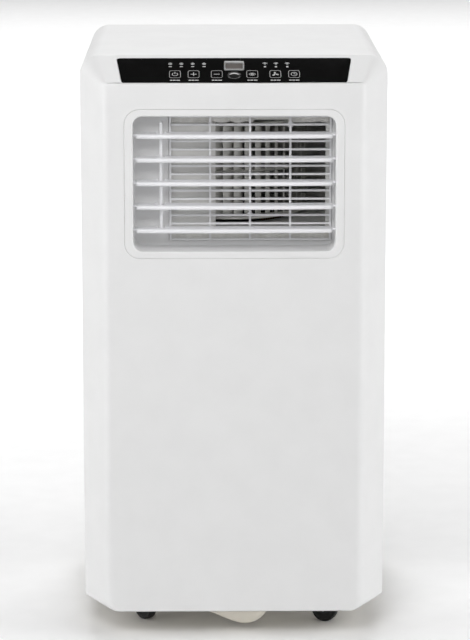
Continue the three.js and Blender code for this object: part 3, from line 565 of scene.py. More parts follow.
def handle_cup(side, sign):
    """A finger recess: a flush lip rolled into a rounded pocket."""
    name = f"{side}_finger_cup"
    cup = Box(f"{side}_handle_cup")
    depth = cup.high.x - cup.low.x
    # How far in from the outline, and how deep below the side wall.
    steps = [(0, 2.0), (0, 0.1), (0.3, 0), (1.6, 0)]
    steps += [(1.6 + 2 * sin(a), 2 * (1 - cos(a))) for a in (0.4, 0.8, 1.2, 1.57)]
    steps += [(4.2, depth - 8), (5.5, depth - 5), (8.5, depth - 3.2), (12, depth - 2.6)]
    floor_at = len(steps) - 1
    steps += [(10, depth), (2.4, depth - 1), (2.4, 2.0)]
    rings = []
    for inset, below in steps:
        outline = cup.outline(max(HAND_RADIUS - inset * 0.5, 3), -inset, "yz", 8)
        rings.append([Vector((sign * (half_width_at(u) - below), u, v)) for u, v in outline])
    # The closed loft is a tube of walls, and a slab between two of its rings is the floor.
    pieces = [loft("sides", rings, closed=True), loft("floor", rings[floor_at:floor_at + 2])]
    fit(polish(merge(name, pieces)), "casing", f"{side}_handle_cup")


# ---- louvre
def louver_frame():
    """Flush bezel, a rolled inner edge, a deep sleeve and a back wall with the grille's window."""
    bezel, window = Box("louver_frame"), Box("outlet_grille")
    half_w, half_h = bezel.half.x - 9.5, bezel.half.z - 7.8
    back = bezel.high.y
    floor = back - 3.2
    roll = 1.5

    def ring(box, grow, radius, y):
        return [Vector((u, y, v)) for u, v in box.outline(radius, grow, steps=10)]

    def around(grow, radius, y):
        at = (bezel.middle.x, bezel.middle.z)
        return [Vector((u, y, v)) for u, v in rounded_rect(half_w + grow, half_h + grow, radius, at, 10)]

    edge = ((0, 2.5), (0, 0.45), (-0.15, 0.12), (-0.5, 0))
    rings = [ring(bezel, grow, BEZEL_RADIUS, FRONT + y) for grow, y in edge]
    for i in range(7):
        angle = radians(15 * i)
        grow = roll * (1 - sin(angle))
        rings.append(around(grow, 11 + grow, FRONT + roll * (1 - cos(angle))))
    rings += [around(-0.4, 10.6, floor - 1.5), around(-0.8, 10.2, floor - 0.4), around(-1.9, 9.2, floor),
              ring(window, 0.9, 3, floor), ring(window, 0.3, 2.4, floor + 0.6), ring(window, 0.3, 2.4, back),
              around(2.4, 13, back), around(2.4, 13, FRONT + 2.5)]
    shell = loft("louver_frame_moulding", rings, closed=True)
    cutters = []
    for blade in BLADES:
        at = pivot_mm(f"{blade}_tilt")
        slot = rounded_rect(1.9, 2.6, 1.8, (at.y, at.z))
        cutters.append(plate("slot", slot, -half_w - 6, half_w + 6, "yz"))
    fit(polish(combine(shell, *cutters)), "casing", "louver_frame")


BLADE_HALF = 109.8
# How far in from a blade's tip, and how full the section is there.
BLADE_TIP = [(0.0, 0.55), (0.3, 0.75), (0.8, 0.89), (1.5, 0.97), (2.4, 1.0)]
BLADE_BOW = 2.4


def blade_profile(bow, fullness):
    """Cross-section about the pivot axis: a round nose in front, a long thin tail behind."""
    nose, radius, drop, tail = -4.6 - bow, 2.4, -0.8, 15.0
    points = arc((nose, drop), radius, 90, 270, 14)
    points += [(nose + 1.9, drop - 1.5), (nose + 3.0, drop - 0.2), (nose + 4.6, drop + 0.1)]
    points += arc((tail - 0.7, 0.2), 0.65, -90, 90, 6)
    points += [(2.0, 1.25)]
    centre = Vector((2.0, 0.0))
    return [centre + (Vector(p) - centre) * fullness for p in points]


def blade_vane(name, at):
    """The vane itself, bowed forward in the middle."""
    tip = BLADE_TIP[-1][0]
    stations = [(inset - BLADE_HALF, fullness) for inset, fullness in BLADE_TIP]
    stations += [(tip - BLADE_HALF + 2 * (BLADE_HALF - tip) * i / 26, 1.0) for i in range(1, 26)]
    stations += [(BLADE_HALF - inset, fullness) for inset, fullness in reversed(BLADE_TIP)]
    rings = []
    for x, fullness in stations:
        profile = blade_profile(BLADE_BOW * (1 - (x / BLADE_HALF) ** 2), fullness)
        rings.append([Vector((x, at.y + p.x, at.z + p.y)) for p in profile])
    return loft(name + "_vane", rings)


def louver_blade(name):
    """A vane with a pin at each end, notched for the link, with a jaw and a cross pin that hold it."""
    blade = Box(name)
    at = pivot_mm(f"{name}_tilt")
    x = Box("louver_link").middle.x
    vane = blade_vane(name, at)
    combine(vane, block("notch", (x - 4.2, at.y + 1.2, at.z - 6), (x + 4.2, at.y + 20, at.z + 6)))
    fittings = [rod("pin", "x", (0, at.y, at.z), 1.5, start, end, 20)
                for start, end in ((blade.low.x, 1.5 - BLADE_HALF), (BLADE_HALF - 1.5, blade.high.x))]
    fittings.append(rod("cross", "x", (0, CRANK_Y, at.z), 1, x - 4.8, x + 4.8, 16))
    jaw = [(at.y + dy, at.z + dz) for dy, dz in ((1.4, 0.6), (9, 0.6), (8, 2.9), (3.6, 3.1))]
    fittings += [plate("jaw", jaw, mid - 0.9, mid + 0.9, "yz") for mid in (x - 4.9, x + 4.9)]
    combine(vane, *fittings, operation="UNION")
    fit(polish(vane, 0.25, 2, 40), "louvre", name, body=name)


def louver_link():
    link = Box("louver_link")
    holes = [circle(1.5, (CRANK_Y, pivot_mm(f"{blade}_tilt").z), 20) for blade in BLADES]
    bar = plate("louver_link_rod", link.outline(2.4, axes="yz"), link.low.x, link.high.x, "yz", holes)
    fit(polish(bar, 0.45), "louvre", "louver_link", body="louver_link")


POST_WIDTH, POSTS = 2.4, (-26.9, 18.0, 63.2)
BAR_WIDTH, BAR_TOP, BAR_PITCH, BAR_COUNT = 2.2, 588.8, 9.37, 14
# Lozenge-shaped lands where the plastic was fed in: x, z and half size.
GATE_LANDS = ((63.2, 588.8, 4.6), (18.0, 570.1, 3.2), (-26.9, 590.0, 3.4),
              (18.0, 486.6, 4.0), (18.0, 468.0, 3.4), (18.0, 476.4, 3.0))


def spans(low, high, width, middles):
    """Start and end of each bar across a grille: one along each edge, and one about each middle."""
    return [(low, low + width), (high - width, high)] + [(m - width / 2, m + width / 2) for m in middles]


def crossed_bars(name, posts, rails, low, high):
    """Upright posts and level rails as one lattice, from low to high in depth."""
    xs = sorted({edge for span in posts for edge in span})
    zs = sorted({edge for span in rails for edge in span})

    def inside(first, second, bars):
        return any(a < (first + second) / 2 < b for a, b in bars)

    bm = bmesh.new()
    grid = [[bm.verts.new((x, low, z)) for z in zs] for x in xs]
    for i in range(len(xs) - 1):
        for j in range(len(zs) - 1):
            if inside(xs[i], xs[i + 1], posts) or inside(zs[j], zs[j + 1], rails):
                bm.faces.new((grid[i][j], grid[i + 1][j], grid[i + 1][j + 1], grid[i][j + 1]))
    bmesh.ops.delete(bm, geom=[v for v in bm.verts if not v.link_faces], context="VERTS")
    thicken(bm, (0, high - low, 0))
    return to_object(name, bm)


def outlet_grille():
    low, high = Box("outlet_grille").low, Box("outlet_grille").high
    posts = spans(low.x, high.x, POST_WIDTH, POSTS)
    rails = spans(low.z, high.z, BAR_WIDTH, [BAR_TOP - i * BAR_PITCH for i in range(BAR_COUNT)])
    grille = crossed_bars("outlet_grille_bars", posts, rails, low.y, high.y)
    lands = []
    for x, z, size in GATE_LANDS:
        lozenge = [(x + size, z), (x, z + size), (x - size, z), (x, z - size)]
        lands.append(plate("land", lozenge, low.y + 0.15, high.y - 0.3))
    combine(grille, *lands, operation="UNION")
    fit(polish(grille, 0.35, 2), "grille", "outlet_grille")


# ---- control panel
# On the panel, x runs across and s up the slope, from the lower edge of the bevel.
FASCIA_LOW, FASCIA_HIGH, FASCIA_HALF_LOW, FASCIA_HALF_HIGH = 2.7, 50.6, 124.6, 131.0
FASCIA_CORNER, FASCIA_BOW = 4.4, 0.7
KEY_S, KEY_HALF, KEY_RADIUS = 18.0, (6.9, 7.75), 2.6
DISPLAY_AT, DISPLAY_HALF = (0, 35.0), (11.2, 8.85)
RECEIVER_AT, RECEIVER_HALF = (0, 15.8), (7.6, 7.0)
LAMP_X, LAMP_S = (-71.1, -58.7, -46.2, -33.5, 34.4, 46.6, 59.2), 39.1
PANEL_GAP = 0.3


def fascia_outline(grow):
    """A trapezium with rounded corners; its lower edge, between the first two, bows down a little."""
    low, high = FASCIA_LOW - grow, FASCIA_HIGH + grow
    half_low, half_high = FASCIA_HALF_LOW + grow, FASCIA_HALF_HIGH + grow
    corners = [(-half_low, low), (half_low, low), (half_high, high), (-half_high, high)]
    outline = rounded_corners(corners, FASCIA_CORNER)
    start, end = outline[CORNER_POINTS - 1][0], outline[CORNER_POINTS][0]
    bow = [(start + (end - start) * i / 16, low - FASCIA_BOW * sin(pi * i / 16) ** 1.2)
           for i in range(1, 16)]
    return outline[:CORNER_POINTS] + bow + outline[CORNER_POINTS:]


def control_fascia():
    holes = [rounded_rect(KEY_HALF[0] + PANEL_GAP, KEY_HALF[1] + PANEL_GAP, KEY_RADIUS + PANEL_GAP,
                          (Box(node).middle.x, KEY_S)) for node in KEYS]
    holes.append(rounded_rect(DISPLAY_HALF[0] + PANEL_GAP, DISPLAY_HALF[1] + PANEL_GAP, 2.3, DISPLAY_AT))
    holes.append(ellipse(RECEIVER_HALF[0] + PANEL_GAP, RECEIVER_HALF[1] + PANEL_GAP, RECEIVER_AT))
    holes += [circle(1.5, (x, LAMP_S), 20) for x in LAMP_X]
    fascia = plate("control_fascia_overlay", fascia_outline(0), -1.9, 0, "panel", holes)
    fit(polish(fascia, 0.25, 2), "fascia", "control_fascia")


def arc_mark(centre, radius, start, end, width):
    steps = max(6, round(abs(end - start) / 12))
    return arc(centre, radius, start, end, steps) + arc(centre, radius - width, end, start, steps)


def ring_mark(centre, radius, width):
    """Two half rings, so that no outline needs a hole."""
    return [arc_mark(centre, radius, 0, 180, width), arc_mark(centre, radius, 180, 360, width)]


def petal_mark(centre, degrees):
    c, s = cos(radians(degrees)), sin(radians(degrees))
    petal = ellipse(1.9, 1.05, (2.2, 0.5), 18)
    return [(centre[0] + u * c - v * s, centre[1] + u * s + v * c) for u, v in petal]


def key_symbol(name, x):
    """Generic signs: a broken ring, plus, minus, an eye, three petals and a clock."""
    at = (x, KEY_S)
    dash = rectangle(at, 3.3, 0.42)
    return {
        "button_power": [arc_mark(at, 3.3, 125, 415, 0.65), rectangle((x, KEY_S + 2.6), 0.33, 1.9)],
        "button_temp_up": [dash, *(rectangle((x, KEY_S + ds), 0.42, 1.4) for ds in (1.9, -1.9))],
        "button_temp_down": [dash],
        "button_mode": [*ring_mark(at, 1.5, 0.7), arc_mark((x, KEY_S - 2.2), 4.7, 35, 145, 0.6),
                        arc_mark((x, KEY_S + 2.2), 4.7, 215, 325, 0.6)],
        "button_speed": [petal_mark(at, degrees) for degrees in (90, 210, 330)],
        "button_timer": [*ring_mark(at, 3.6, 0.62), rectangle((x, KEY_S + 1.2), 0.3, 1.2),
                         rectangle((x + 0.9, KEY_S), 0.9, 0.3)],
    }[name]


def marks(name, outlines, top):
    return merge(name, [plate("mark", outline, top - 0.15, top + 0.05, "panel") for outline in outlines])


def key(node):
    """A key cap, and on it a border line and a symbol."""
    x = Box(node).middle.x
    cap = plate(node + "_cap", rounded_rect(*KEY_HALF, KEY_RADIUS, (x, KEY_S), 8), -5, 0.5, "panel")
    fit(polish(cap, 0.35), "key", node, body=node)
    half_w, half_h = KEY_HALF
    reach = (half_w - 3.2, half_h - 3.2)
    border = [arc_mark((x + sx * reach[0], KEY_S + sy * reach[1]), 2.6, start, start + 90, 0.42)
              for sx, sy, start in ((1, 1, 0), (-1, 1, 90), (-1, -1, 180), (1, -1, 270))]
    for sign in (-1, 1):
        border.append(rectangle((x, KEY_S + sign * (half_h - 0.81)), reach[0], 0.21))
        border.append(rectangle((x + sign * (half_w - 0.81), KEY_S), 0.21, reach[1]))
    fit(marks(node + "_symbol", border + key_symbol(node, x), 0.5), "print", body=node)


def panel_print():
    """Plain rules under the keys and lamps, in place of lettering."""
    rules = []
    for x in (Box(node).middle.x for node in KEYS):
        rules += [rectangle((x + dx, 7.0), half, 0.85) for dx, half in ((-4.2, 1.3), (-0.7, 1.6), (3.6, 2.0))]
    for x in LAMP_X[:4]:
        rules.append(rectangle((x, 33.6), 1.7, 0.6))
        rules += ring_mark((x, LAMP_S), 2.1, 0.42)
    for x in LAMP_X[4:]:
        rules.append(rectangle((x, 33.2), 1.2, 1.2))
        rules.append(arc_mark((x, LAMP_S - 0.6), 2.9, 20, 160, 0.8))
    fit(marks("panel_print", rules, 0), "print")


def display():
    half_w, half_h = DISPLAY_HALF
    pane_at = (0, DISPLAY_AT[1] - 0.9)
    rim = plate("display_rim", rounded_rect(half_w, half_h, 2.0, DISPLAY_AT), -1.8, 0.6, "panel",
                [rounded_rect(half_w - 1.7, half_h - 3.3, 1.2, pane_at)])
    fit(polish(rim, 0.45), "bezel")
    pane = rounded_rect(half_w - 1.8, half_h - 3.4, 1.1, pane_at)
    glass = plate("display_glass", pane, -1.6, -0.1, "panel")
    fit(polish(glass, 0.2, 2), "smoked", "display_window")


def receiver():
    """An oval lens: a raised rim, a groove inside it and a crowned middle."""
    rings = []
    for scale, n in ((1, -1.8), (1, 0.2), (0.97, 0.45), (0.9, 0.5), (0.86, 0.2), (0.8, 0.25), (0.6, 0.75),
                     (0.35, 1.05), (0.12, 1.15)):
        outline = ellipse(RECEIVER_HALF[0] * scale, RECEIVER_HALF[1] * scale, RECEIVER_AT)
        rings.append([bevel_point(x, s, n) for x, s in outline])
    fit(polish(loft("receiver_lens", rings)), "lens", "ir_receiver")


def lamps():
    """Frosted pips on one light guide."""
    pieces = []
    for x in LAMP_X:
        rings = [[bevel_point(*p, n) for p in circle(r, (x, LAMP_S), 20)]
                 for r, n in ((1.2, -3.6), (1.2, 0.05), (1.05, 0.25), (0.6, 0.4))]
        pieces.append(loft("pip", rings))
    pieces.append(plate("strip", rectangle((-6, LAMP_S), 68, 2.4), -5, -3.4, "panel"))
    fit(polish(merge("indicator_lamps", pieces)), "lamp", "indicator_light_guide")


# ---- blowers
def vane_outline(turn, inner, outer, sweep, origin):
    """A blower blade seen along the axis, curved back by sweep between its two ends."""
    inside, outside = [], []
    for k in range(6):
        t = k / 5
        r = inner + 0.8 + (outer - inner - 1.6) * t
        angle = turn - sweep * t ** 1.6
        lean = angle + 1.3 / r
        inside.append((origin[0] + r * cos(angle), origin[1] + r * sin(angle)))
        outside.append((origin[0] + r * cos(lean), origin[1] + r * sin(lean)))
    return inside + outside[::-1]


def blower_wheel(side, axis, outer, inner, disc, count, sweep):
    """Squirrel-cage wheel: two rounded end rings, a disc part-way along, a hub and curved blades."""
    box = Box(f"{side}_blower_wheel")
    pivot = pivot_mm(f"{side}_blower_spin")
    low, high = getattr(box.low, axis), getattr(box.high, axis)
    centre = Vector([0 if name == axis else getattr(pivot, name) for name in "xyz"])
    origin = [getattr(pivot, name) for name in ACROSS[axis]]
    disc += low
    ring = [(inner, low), (outer - 0.8, low), (outer, low + 0.8), (outer, low + 3.4), (inner, low + 4)]
    far_ring = [(r, low + high - t) for r, t in reversed(ring)]
    web = [(8, disc - 1.2), (outer - 0.6, disc - 1.2), (outer - 0.6, disc + 1.2), (8, disc + 1.2)]
    hub = [(4.4, disc - 12), (9, disc - 12), (10, disc - 11),
           (10, disc + 11), (9, disc + 12), (4.4, disc + 12)]
    parts = [lathe("turned", profile, axis, centre, segments)
             for profile, segments in ((ring, 96), (far_ring, 96), (web, 96), (hub, 40))]
    for i in range(count):
        outline = vane_outline(TAU * i / count, inner, outer, sweep, origin)
        parts.append(plate("vane", outline, low + 1, high - 1, ACROSS[axis]))
    fit(polish(merge(f"{side}_blower_cage", parts)), "wheel", f"{side}_blower_wheel", body=f"{side}_blower")


def scroll_points(grow, overrun):
    """The spiral of the upper blower housing, its mouth towards the grille."""
    depth, near, far, tongue, steps = 94.0, 16.0, 103.5, 93.0, 60
    start = math.atan2(-depth, -near) + TAU
    end = math.atan2(-depth, far)
    last = math.hypot(depth, far)
    points = [(-near - grow, -depth - overrun)]
    for i in range(1, steps):
        t = i / steps
        angle = start + (end - start) * t
        r = tongue + (last - tongue) * t + grow
        points.append((r * cos(angle), r * sin(angle)))
    points.append((far + grow, -depth - overrun))
    at = pivot_mm("evaporator_blower_spin")
    return [(x + at.x, y + at.y) for x, y in points]


def evaporator_scroll():
    box, grille = Box("evaporator_scroll"), Box("outlet_grille")
    at = pivot_mm("evaporator_blower_spin")
    bottom, top, wall = 470.0, 596.0, 2.5
    shell = plate("evaporator_housing", scroll_points(wall, 0), bottom, top, "xy")
    flange = block("flange", (grille.low.x - 2, box.low.y, box.low.z),
                   (grille.high.x + 2, box.low.y + 3, box.high.z))
    combine(shell, flange, operation="UNION")
    cavity = plate("cavity", scroll_points(0, 6), bottom + wall, top - wall, "xy")
    inlet = plate("inlet", circle(72, (at.x, at.y), 72), bottom - 5, top + 5, "xy")
    fit(polish(combine(shell, cavity, inlet), 0.5, 2, 40), "duct", "evaporator_scroll")


def foam_strips():
    """Torn foam sealing strips between the louvre frame and the blower housing."""
    low, high = Box("outlet_grille").low, Box("outlet_grille").high
    y0, y1 = high.y + 0.3, Box("evaporator_scroll").low.y - 0.2
    count = 120
    for name, z, inward, phase in (("foam_strip_top", high.z + 1.5, -1, 0.0),
                                   ("foam_strip_bottom", low.z + 0.5, 1, 7.0)):
        outline = []
        for i in range(count + 1):
            x = low.x + 2 + (high.x - low.x - 4) * i / count
            # The strip is squeezed thinner over the middle of the blower's mouth.
            depth = 6.2 if 22 < x < 60 else 10.0
            waves = noise.noise(Vector((x * 0.11, phase, 0))) * 1.9
            tears = noise.noise(Vector((x * 0.6, phase, 3))) * 0.8
            outline.append((x, z + inward * (depth + (waves + tears))))
        outline += [(outline[-1][0], z), (outline[0][0], z)]
        fit(polish(plate(name, outline, y0, y1), 0.3, 2), "foam")


# ---- base, sump and casters
SUMP_LEFT, SUMP_LOW, SUMP_RIGHT, SUMP_DEPTH = -52.0, 9.0, 40.5, 26.0
SUMP_NEAR, SUMP_FAR, SUMP_ENDS, SUMP_WALL = FRONT + 13, FRONT + 101, 13.0, 2.4


def sump_depth(x):
    """How far the sump hangs below the pan: a long slope on the left, round on the right."""
    if x <= SUMP_LEFT or x >= SUMP_RIGHT:
        return 0.0
    if x < SUMP_LOW:
        t = (x - SUMP_LEFT) / (SUMP_LOW - SUMP_LEFT)
        return SUMP_DEPTH * (1.12 * t - 0.12 * t ** 6)
    t = (x - SUMP_LOW) / (SUMP_RIGHT - SUMP_LOW)
    return SUMP_DEPTH * (1 - t ** 2.6) ** 0.62


def drain_sump():
    """A thin bowl: two sheets of the same form, one above the other, joined round their border."""
    rows, columns = 36, 60
    bm = bmesh.new()
    sheets = []
    for lift in (0.0, SUMP_WALL):
        sheet = []
        for j in range(rows + 1):
            y = SUMP_NEAR + (SUMP_FAR - SUMP_NEAR) * (1 - cos(pi * j / rows)) / 2
            edge = min(1.0, min(y - SUMP_NEAR, SUMP_FAR - y) / SUMP_ENDS)
            swell = math.sqrt(max(0.0, 1 - (1 - edge) ** 2))
            row = []
            for i in range(columns + 1):
                x = SUMP_LEFT + (SUMP_RIGHT - SUMP_LEFT) * (1 - cos(pi * i / columns)) / 2
                row.append(bm.verts.new((x, y, PAN_FLOOR - sump_depth(x) * swell + lift)))
            sheet.append(row)
        sheets.append(sheet)
        for a, b in zip(sheet, sheet[1:]):
            for i in range(columns):
                bm.faces.new((a[i], a[i + 1], b[i + 1], b[i]))
    under, upper = ([*sheet[0][:-1], *(row[-1] for row in sheet[:-1]), *sheet[-1][:0:-1],
                     *(row[0] for row in sheet[:0:-1])] for sheet in sheets)
    for i in range(len(under)):
        bm.faces.new((under[i - 1], under[i], upper[i], upper[i - 1]))
    return to_object("drain_sump", bm)


def pan_outline(inset):
    """The pan's plan: straight sides that narrow with the bevel in front and with the walls behind."""
    pan = Box("base_pan")
    slope = SIDE_INSET / RIM_DEPTH
    front_half = HALF - SIDE_INSET - 3.44 - 2 + slope * (pan.low.y - FRONT)
    knee = pan.low.y + (pan.high.x - front_half) / slope
    back_half = half_width_at(pan.high.y) - HALF + pan.high.x
    side = [(front_half - inset, pan.low.y + inset), (pan.high.x - inset, knee),
            (back_half - inset, pan.high.y - inset)]
    return rounded_corners([(-side[0][0], side[0][1]), *side, *((-x, y) for x, y in side[:0:-1])], 4)


def base_pan():
    """A tray with ribs under it, a boss for each caster stem, and the sump in its mouth."""
    high = Box("base_pan").high
    under, over = PAN_FLOOR - 1.0, PAN_FLOOR + 0.5
    pan = plate("base_pan_moulding", pan_outline(0), PAN_FLOOR, high.z, "xy")
    inner = plate("inner", pan_outline(2.6), PAN_FLOOR + 3, high.z + 5, "xy")
    mouth = block("mouth", (-50, FRONT + 15, PAN_FLOOR - 1), (39.5, FRONT + 99, PAN_FLOOR + 8))
    combine(pan, inner, mouth)
    added = [block("rib", (x - 1, -40, under), (x + 1, high.y - 6, over)) for x in (-60, -30, 0, 30, 60)]
    added += [block("rib", (-62, y - 1, under), (62, y + 1, over)) for y in (-30, 30, 90)]
    holes = []
    for place in CASTERS:
        at = pivot_mm(f"caster_swivel_{place}_turn").xy
        stem = circle(4.6, at, 24)
        added.append(plate("boss", circle(11, at, 40), PAN_FLOOR + 1, 53, "xy", [stem]))
        holes.append(plate("hole", stem, PAN_FLOOR - 3, 60, "xy"))
    combine(pan, *added, operation="UNION")
    combine(pan, *holes)
    fit(polish(merge("base_pan_moulding", [polish_now(pan, 0.5), drain_sump()])), "natural", "base_pan")


def caster_fork(trail, radius):
    """A hood on a stem, with a cheek on each side of the wheel."""
    cover = arc((0, 0), 8.2, 90, 270, 16) + arc((trail + 1.5, 0), 8.2, -90, 90, 16)
    hood = plate("hood", cover, 30.8, 33.7, "xy")
    stem = lathe("stem", [(0, 32), (4, 32), (4, 48.4), (3.4, 49), (0, 49)], "z", (0, 0, 0), 32)
    collar = rod("collar", "z", (0, 0, 0), 6.5, 33, 33.8, 32)
    cheek = [(-6.2, 31.2), (-5.6, 28), *arc((trail, radius), 4.6, 200, 340, 12), (trail + 7.2, 31.2)]
    cheeks = [plate("cheek", cheek, y, y + 2) for y in (-8.2, 6.2)]
    combine(hood, stem, collar, *cheeks, operation="UNION")
    return combine(hood, rod("bore", "y", (trail, 0, radius), 2.3, -12, 12, 24))


TYRE = [(2.3, -5.2), (5.2, -5.2), (5.8, -4.6), (6.4, -3.4), (10.8, -3.4), (11.4, -4.4), (11.9, -5.2),
        (13.6, -5.5), (14.5, -5.0), (14.92, -3.8), (15.0, -2.0)]
TYRE += [(r, -y) for r, y in reversed(TYRE)]
AXLE = [(0, -8.8), (1.6, -8.8), (2.0, -8.5), (2.0, 7.9), (3.1, 7.9), (3.1, 8.5), (2.5, 9.0), (0, 9.1)]


def caster(place):
    """A swivel caster, built heading along x and then turned to where its axle lies."""
    swivel = f"caster_swivel_{place}"
    at = pivot_mm(f"{swivel}_turn")
    axle = pivot_mm(f"caster_wheel_{place}_roll")
    reach = axle.xy - at.xy
    hub = (reach.length, 0, axle.z)
    fork = caster_fork(hub[0], hub[2])
    fork.name = f"caster_{place}_fork"
    tyre = lathe(f"caster_{place}_tyre", TYRE, "y", hub, 72)
    pin = lathe(f"caster_{place}_axle", AXLE, "y", hub, 28)
    heading = math.atan2(reach.y, reach.x)
    turn = Matrix.Translation(Vector((at.x, at.y, 0)) * MM) @ Matrix.Rotation(heading, 4, "Z")
    for piece in (fork, tyre, pin):
        piece.data.transform(turn)
    fit(polish(fork, 0.5), "black", f"caster_fork_{place}", body=swivel)
    fit(polish(tyre), "rubber", f"caster_wheel_{place}", body=f"caster_wheel_{place}")
    fit(polish(pin), "steel", f"caster_axle_{place}", body=swivel)


# ---- rear
def rear_panel():
    box = Box("rear_panel")
    holes = [Box(node).outline(3, -6) for node in ("upper_intake_grille", "lower_intake_grille")]
    for node, radius, steps in (("exhaust_collar", 71, 72), ("upper_drain_plug", 5.3, 28),
                                ("lower_drain_plug", 5.3, 28), ("cord_gland", 8, 28)):
        holes.append(circle(radius, Box(node).middle.xz, steps))
    outline = arch(box.high.x, box.low.z, box.high.z, RIM_RADIUS - 3.3, 16)
    panel = plate("rear_panel_sheet", outline, box.low.y, box.high.y, "xz", holes)
    fit(polish(panel, 0.5, 2), "casing", "rear_panel")


def intake(side, body):
    """A framed grille with sloping slats and upright ribs."""
    node = f"{side}_intake_grille"
    box = Box(node)
    low, high, middle = box.low, box.high, box.middle
    margin, columns, pitch = 10.0, 4, 8.6
    half_w, half_h = box.half.x - margin, box.half.z - margin
    parts = [polish_now(plate("frame", box.outline(6), low.y, high.y, "xz", [box.outline(3, -margin)]), 0.8)]
    count = int(2 * half_h / pitch)
    for i in range(count):
        z = middle.z - half_h + (i + 0.5) * 2 * half_h / count
        slat = [(low.y + 0.3, z + 1.6), (low.y + 1.4, z + 2.0),
                (high.y - 0.2, z - 0.9), (high.y - 1.2, z - 1.5)]
        parts.append(polish_now(plate("slat", slat, middle.x - half_w - 1, middle.x + half_w + 1, "yz"), 0.3))
    for i in range(1, columns):
        x = middle.x - half_w + 2 * half_w * i / columns
        rib = block("rib", (x - 1.6, low.y + 0.1, middle.z - half_h - 1),
                    (x + 1.6, high.y - 0.6, middle.z + half_h + 1))
        parts.append(polish_now(rib, 0.4))
    fit(polish(merge(f"{side}_intake_slats", parts)), "casing", node, body=body)


def air_filter():
    """A ribbed frame round a sheet of mesh."""
    box = Box("upper_filter")
    low, high = box.low, box.high
    cells, edge = 4, 5
    w, h = (2 * box.half.x - 2 * edge) / cells, (2 * box.half.z - 2 * edge) / cells
    middles = [(low.x + edge + w * (i + 0.5), low.z + edge + h * (j + 0.5))
               for i in range(cells) for j in range(cells)]
    holes = [rounded_rect(w / 2 - 1.4, h / 2 - 1.4, 2, middle) for middle in middles]
    ribs = plate("filter_frame", box.outline(4), low.y, high.y, "xz", holes)
    fit(polish(ribs, 0.5, 2), "black", body="filter_cassette")
    web = block("filter_web", (low.x + 1.5, low.y + 1.4, low.z + 1.5),
                (high.x - 1.5, low.y + 1.9, high.z - 1.5))
    fit(polish(web, 0.1, 1), "mesh", "upper_filter", body="filter_cassette")


def exhaust_collar():
    """A flanged sleeve with a rolled lip and four bayonet lugs inside."""
    box = Box("exhaust_collar")
    near, out, far = box.low.y, REAR_OUT, box.high.y
    at = box.middle.xz
    profile = [(66, near), (69, near), (69, out + 0.3), (78.6, out + 0.3), (79.7, out + 0.9),
               (79.9, out + 1.8), (79.2, out + 2.6), (77.8, out + 3.0), (71.5, out + 3.0), (70.0, out + 3.6),
               (69.3, out + 5.0), (68.9, far - 0.7), (68.2, far), (66.8, far), (66, far - 0.8)]
    parts = [turned("sleeve", "exhaust_collar", profile, 96)]
    for start in (20, 110, 200, 290):
        outline = arc(at, 66.6, start, start + 16, 8) + arc(at, 63.2, start + 16, start, 8)
        parts.append(polish_now(plate("lug", outline, far - 6, far - 3), 0.4))
    fit(polish(merge("exhaust_collar_ring", parts)), "casing", "exhaust_collar")


def rear_fittings():
    """The two drain stoppers and the gland for the mains lead."""
    out = REAR_OUT + 0.3
    for side in ("upper", "lower"):
        node = f"{side}_drain_plug"
        near, far = Box(node).low.y, Box(node).high.y
        profile = [(0, near), (4.2, near), (4.8, near + 0.8), (4.8, out), (8.4, out), (9, out + 0.7),
                   (9, far - 1.2), (8.2, far - 0.3), (6.5, far), (3.5, far - 0.6), (0, far - 0.7)]
        fit(polish(turned(f"{side}_drain_stopper", node, profile, 48)), "rubber", node, body=node)
    near, far = Box("cord_gland").low.y, Box("cord_gland").high.y
    profile = [(3.6, near), (7.4, near), (7.7, near + 0.6), (7.7, out), (11.4, out), (12, out + 0.6),
               (12, out + 1.6), (11, out + 2.2), (8.5, out + 2.6), (6.8, far), (4.4, far), (3.6, far - 0.8)]
    fit(polish(turned("cord_gland_bush", "cord_gland", profile, 48)), "black", "cord_gland")


def screw_head(x, y, z):
    """A pan head with a cross recess, facing the rear."""
    profile = [(0, 0), (3.6, 0), (3.6, 0.5), (3.2, 1.3), (2.2, 1.9), (0, 2.1)]
    head = lathe("screw", profile, "y", (x, y, z), 28)
    arms = ((1.9, 0.36), (0.36, 1.9))
    cross = [block("cross", (x - a, y + 0.9, z - b), (x + a, y + 3, z + b)) for a, b in arms]
    return combine(head, *cross)


def rear_screws():
    high = Box("rear_panel").high
    places = [(sx * (high.x - 9), z) for sx in (-1, 1) for z in (60, 235, 408, 612)]
    places += [(sx * 88, high.z - 8) for sx in (-1, 1)]
    heads = [screw_head(x, REAR_OUT + 0.05, z) for x, z in places]
    fit(polish(merge("rear_screws", heads)), "steel")


def coil(node):
    """A finned-tube bundle: upright fins, tubes through them and a plate at each end."""
    low, high = Box(node).low, Box(node).high
    fin_pitch, tube_pitch, rim = 2.8, 25, 3
    x0, x1 = low.x + 1.5, high.x - 1.5
    y0, y1, z0, z1 = low.y + rim, high.y - rim, low.z + rim, high.z - rim
    count = int((x1 - x0) / fin_pitch)
    middles = [x0 + (x1 - x0) * i / count for i in range(1, count)]
    fins = [block("fin", (x - 0.18, y0, z0), (x + 0.18, y1, z1)) for x in middles]
    fit(merge(node + "_fins", fins), "fins")
    ends = [block("end", (x, low.y, low.z), (x + 1.2, high.y, high.z)) for x in (low.x, high.x - 1.2)]
    fit(polish(merge(node + "_end_plates", ends)), "brushed", node)
    rows = int((z1 - z0) / tube_pitch)
    tubes = [rod("tube", "x", (0, y, z0 + (z1 - z0) * (i + 0.5) / rows), 3.2, low.x - 4, high.x + 0.4, 14)
             for i in range(rows) for y in (y0 + 9, y1 - 9)]
    fit(polish(merge(node + "_tubes", tubes)), "copper")


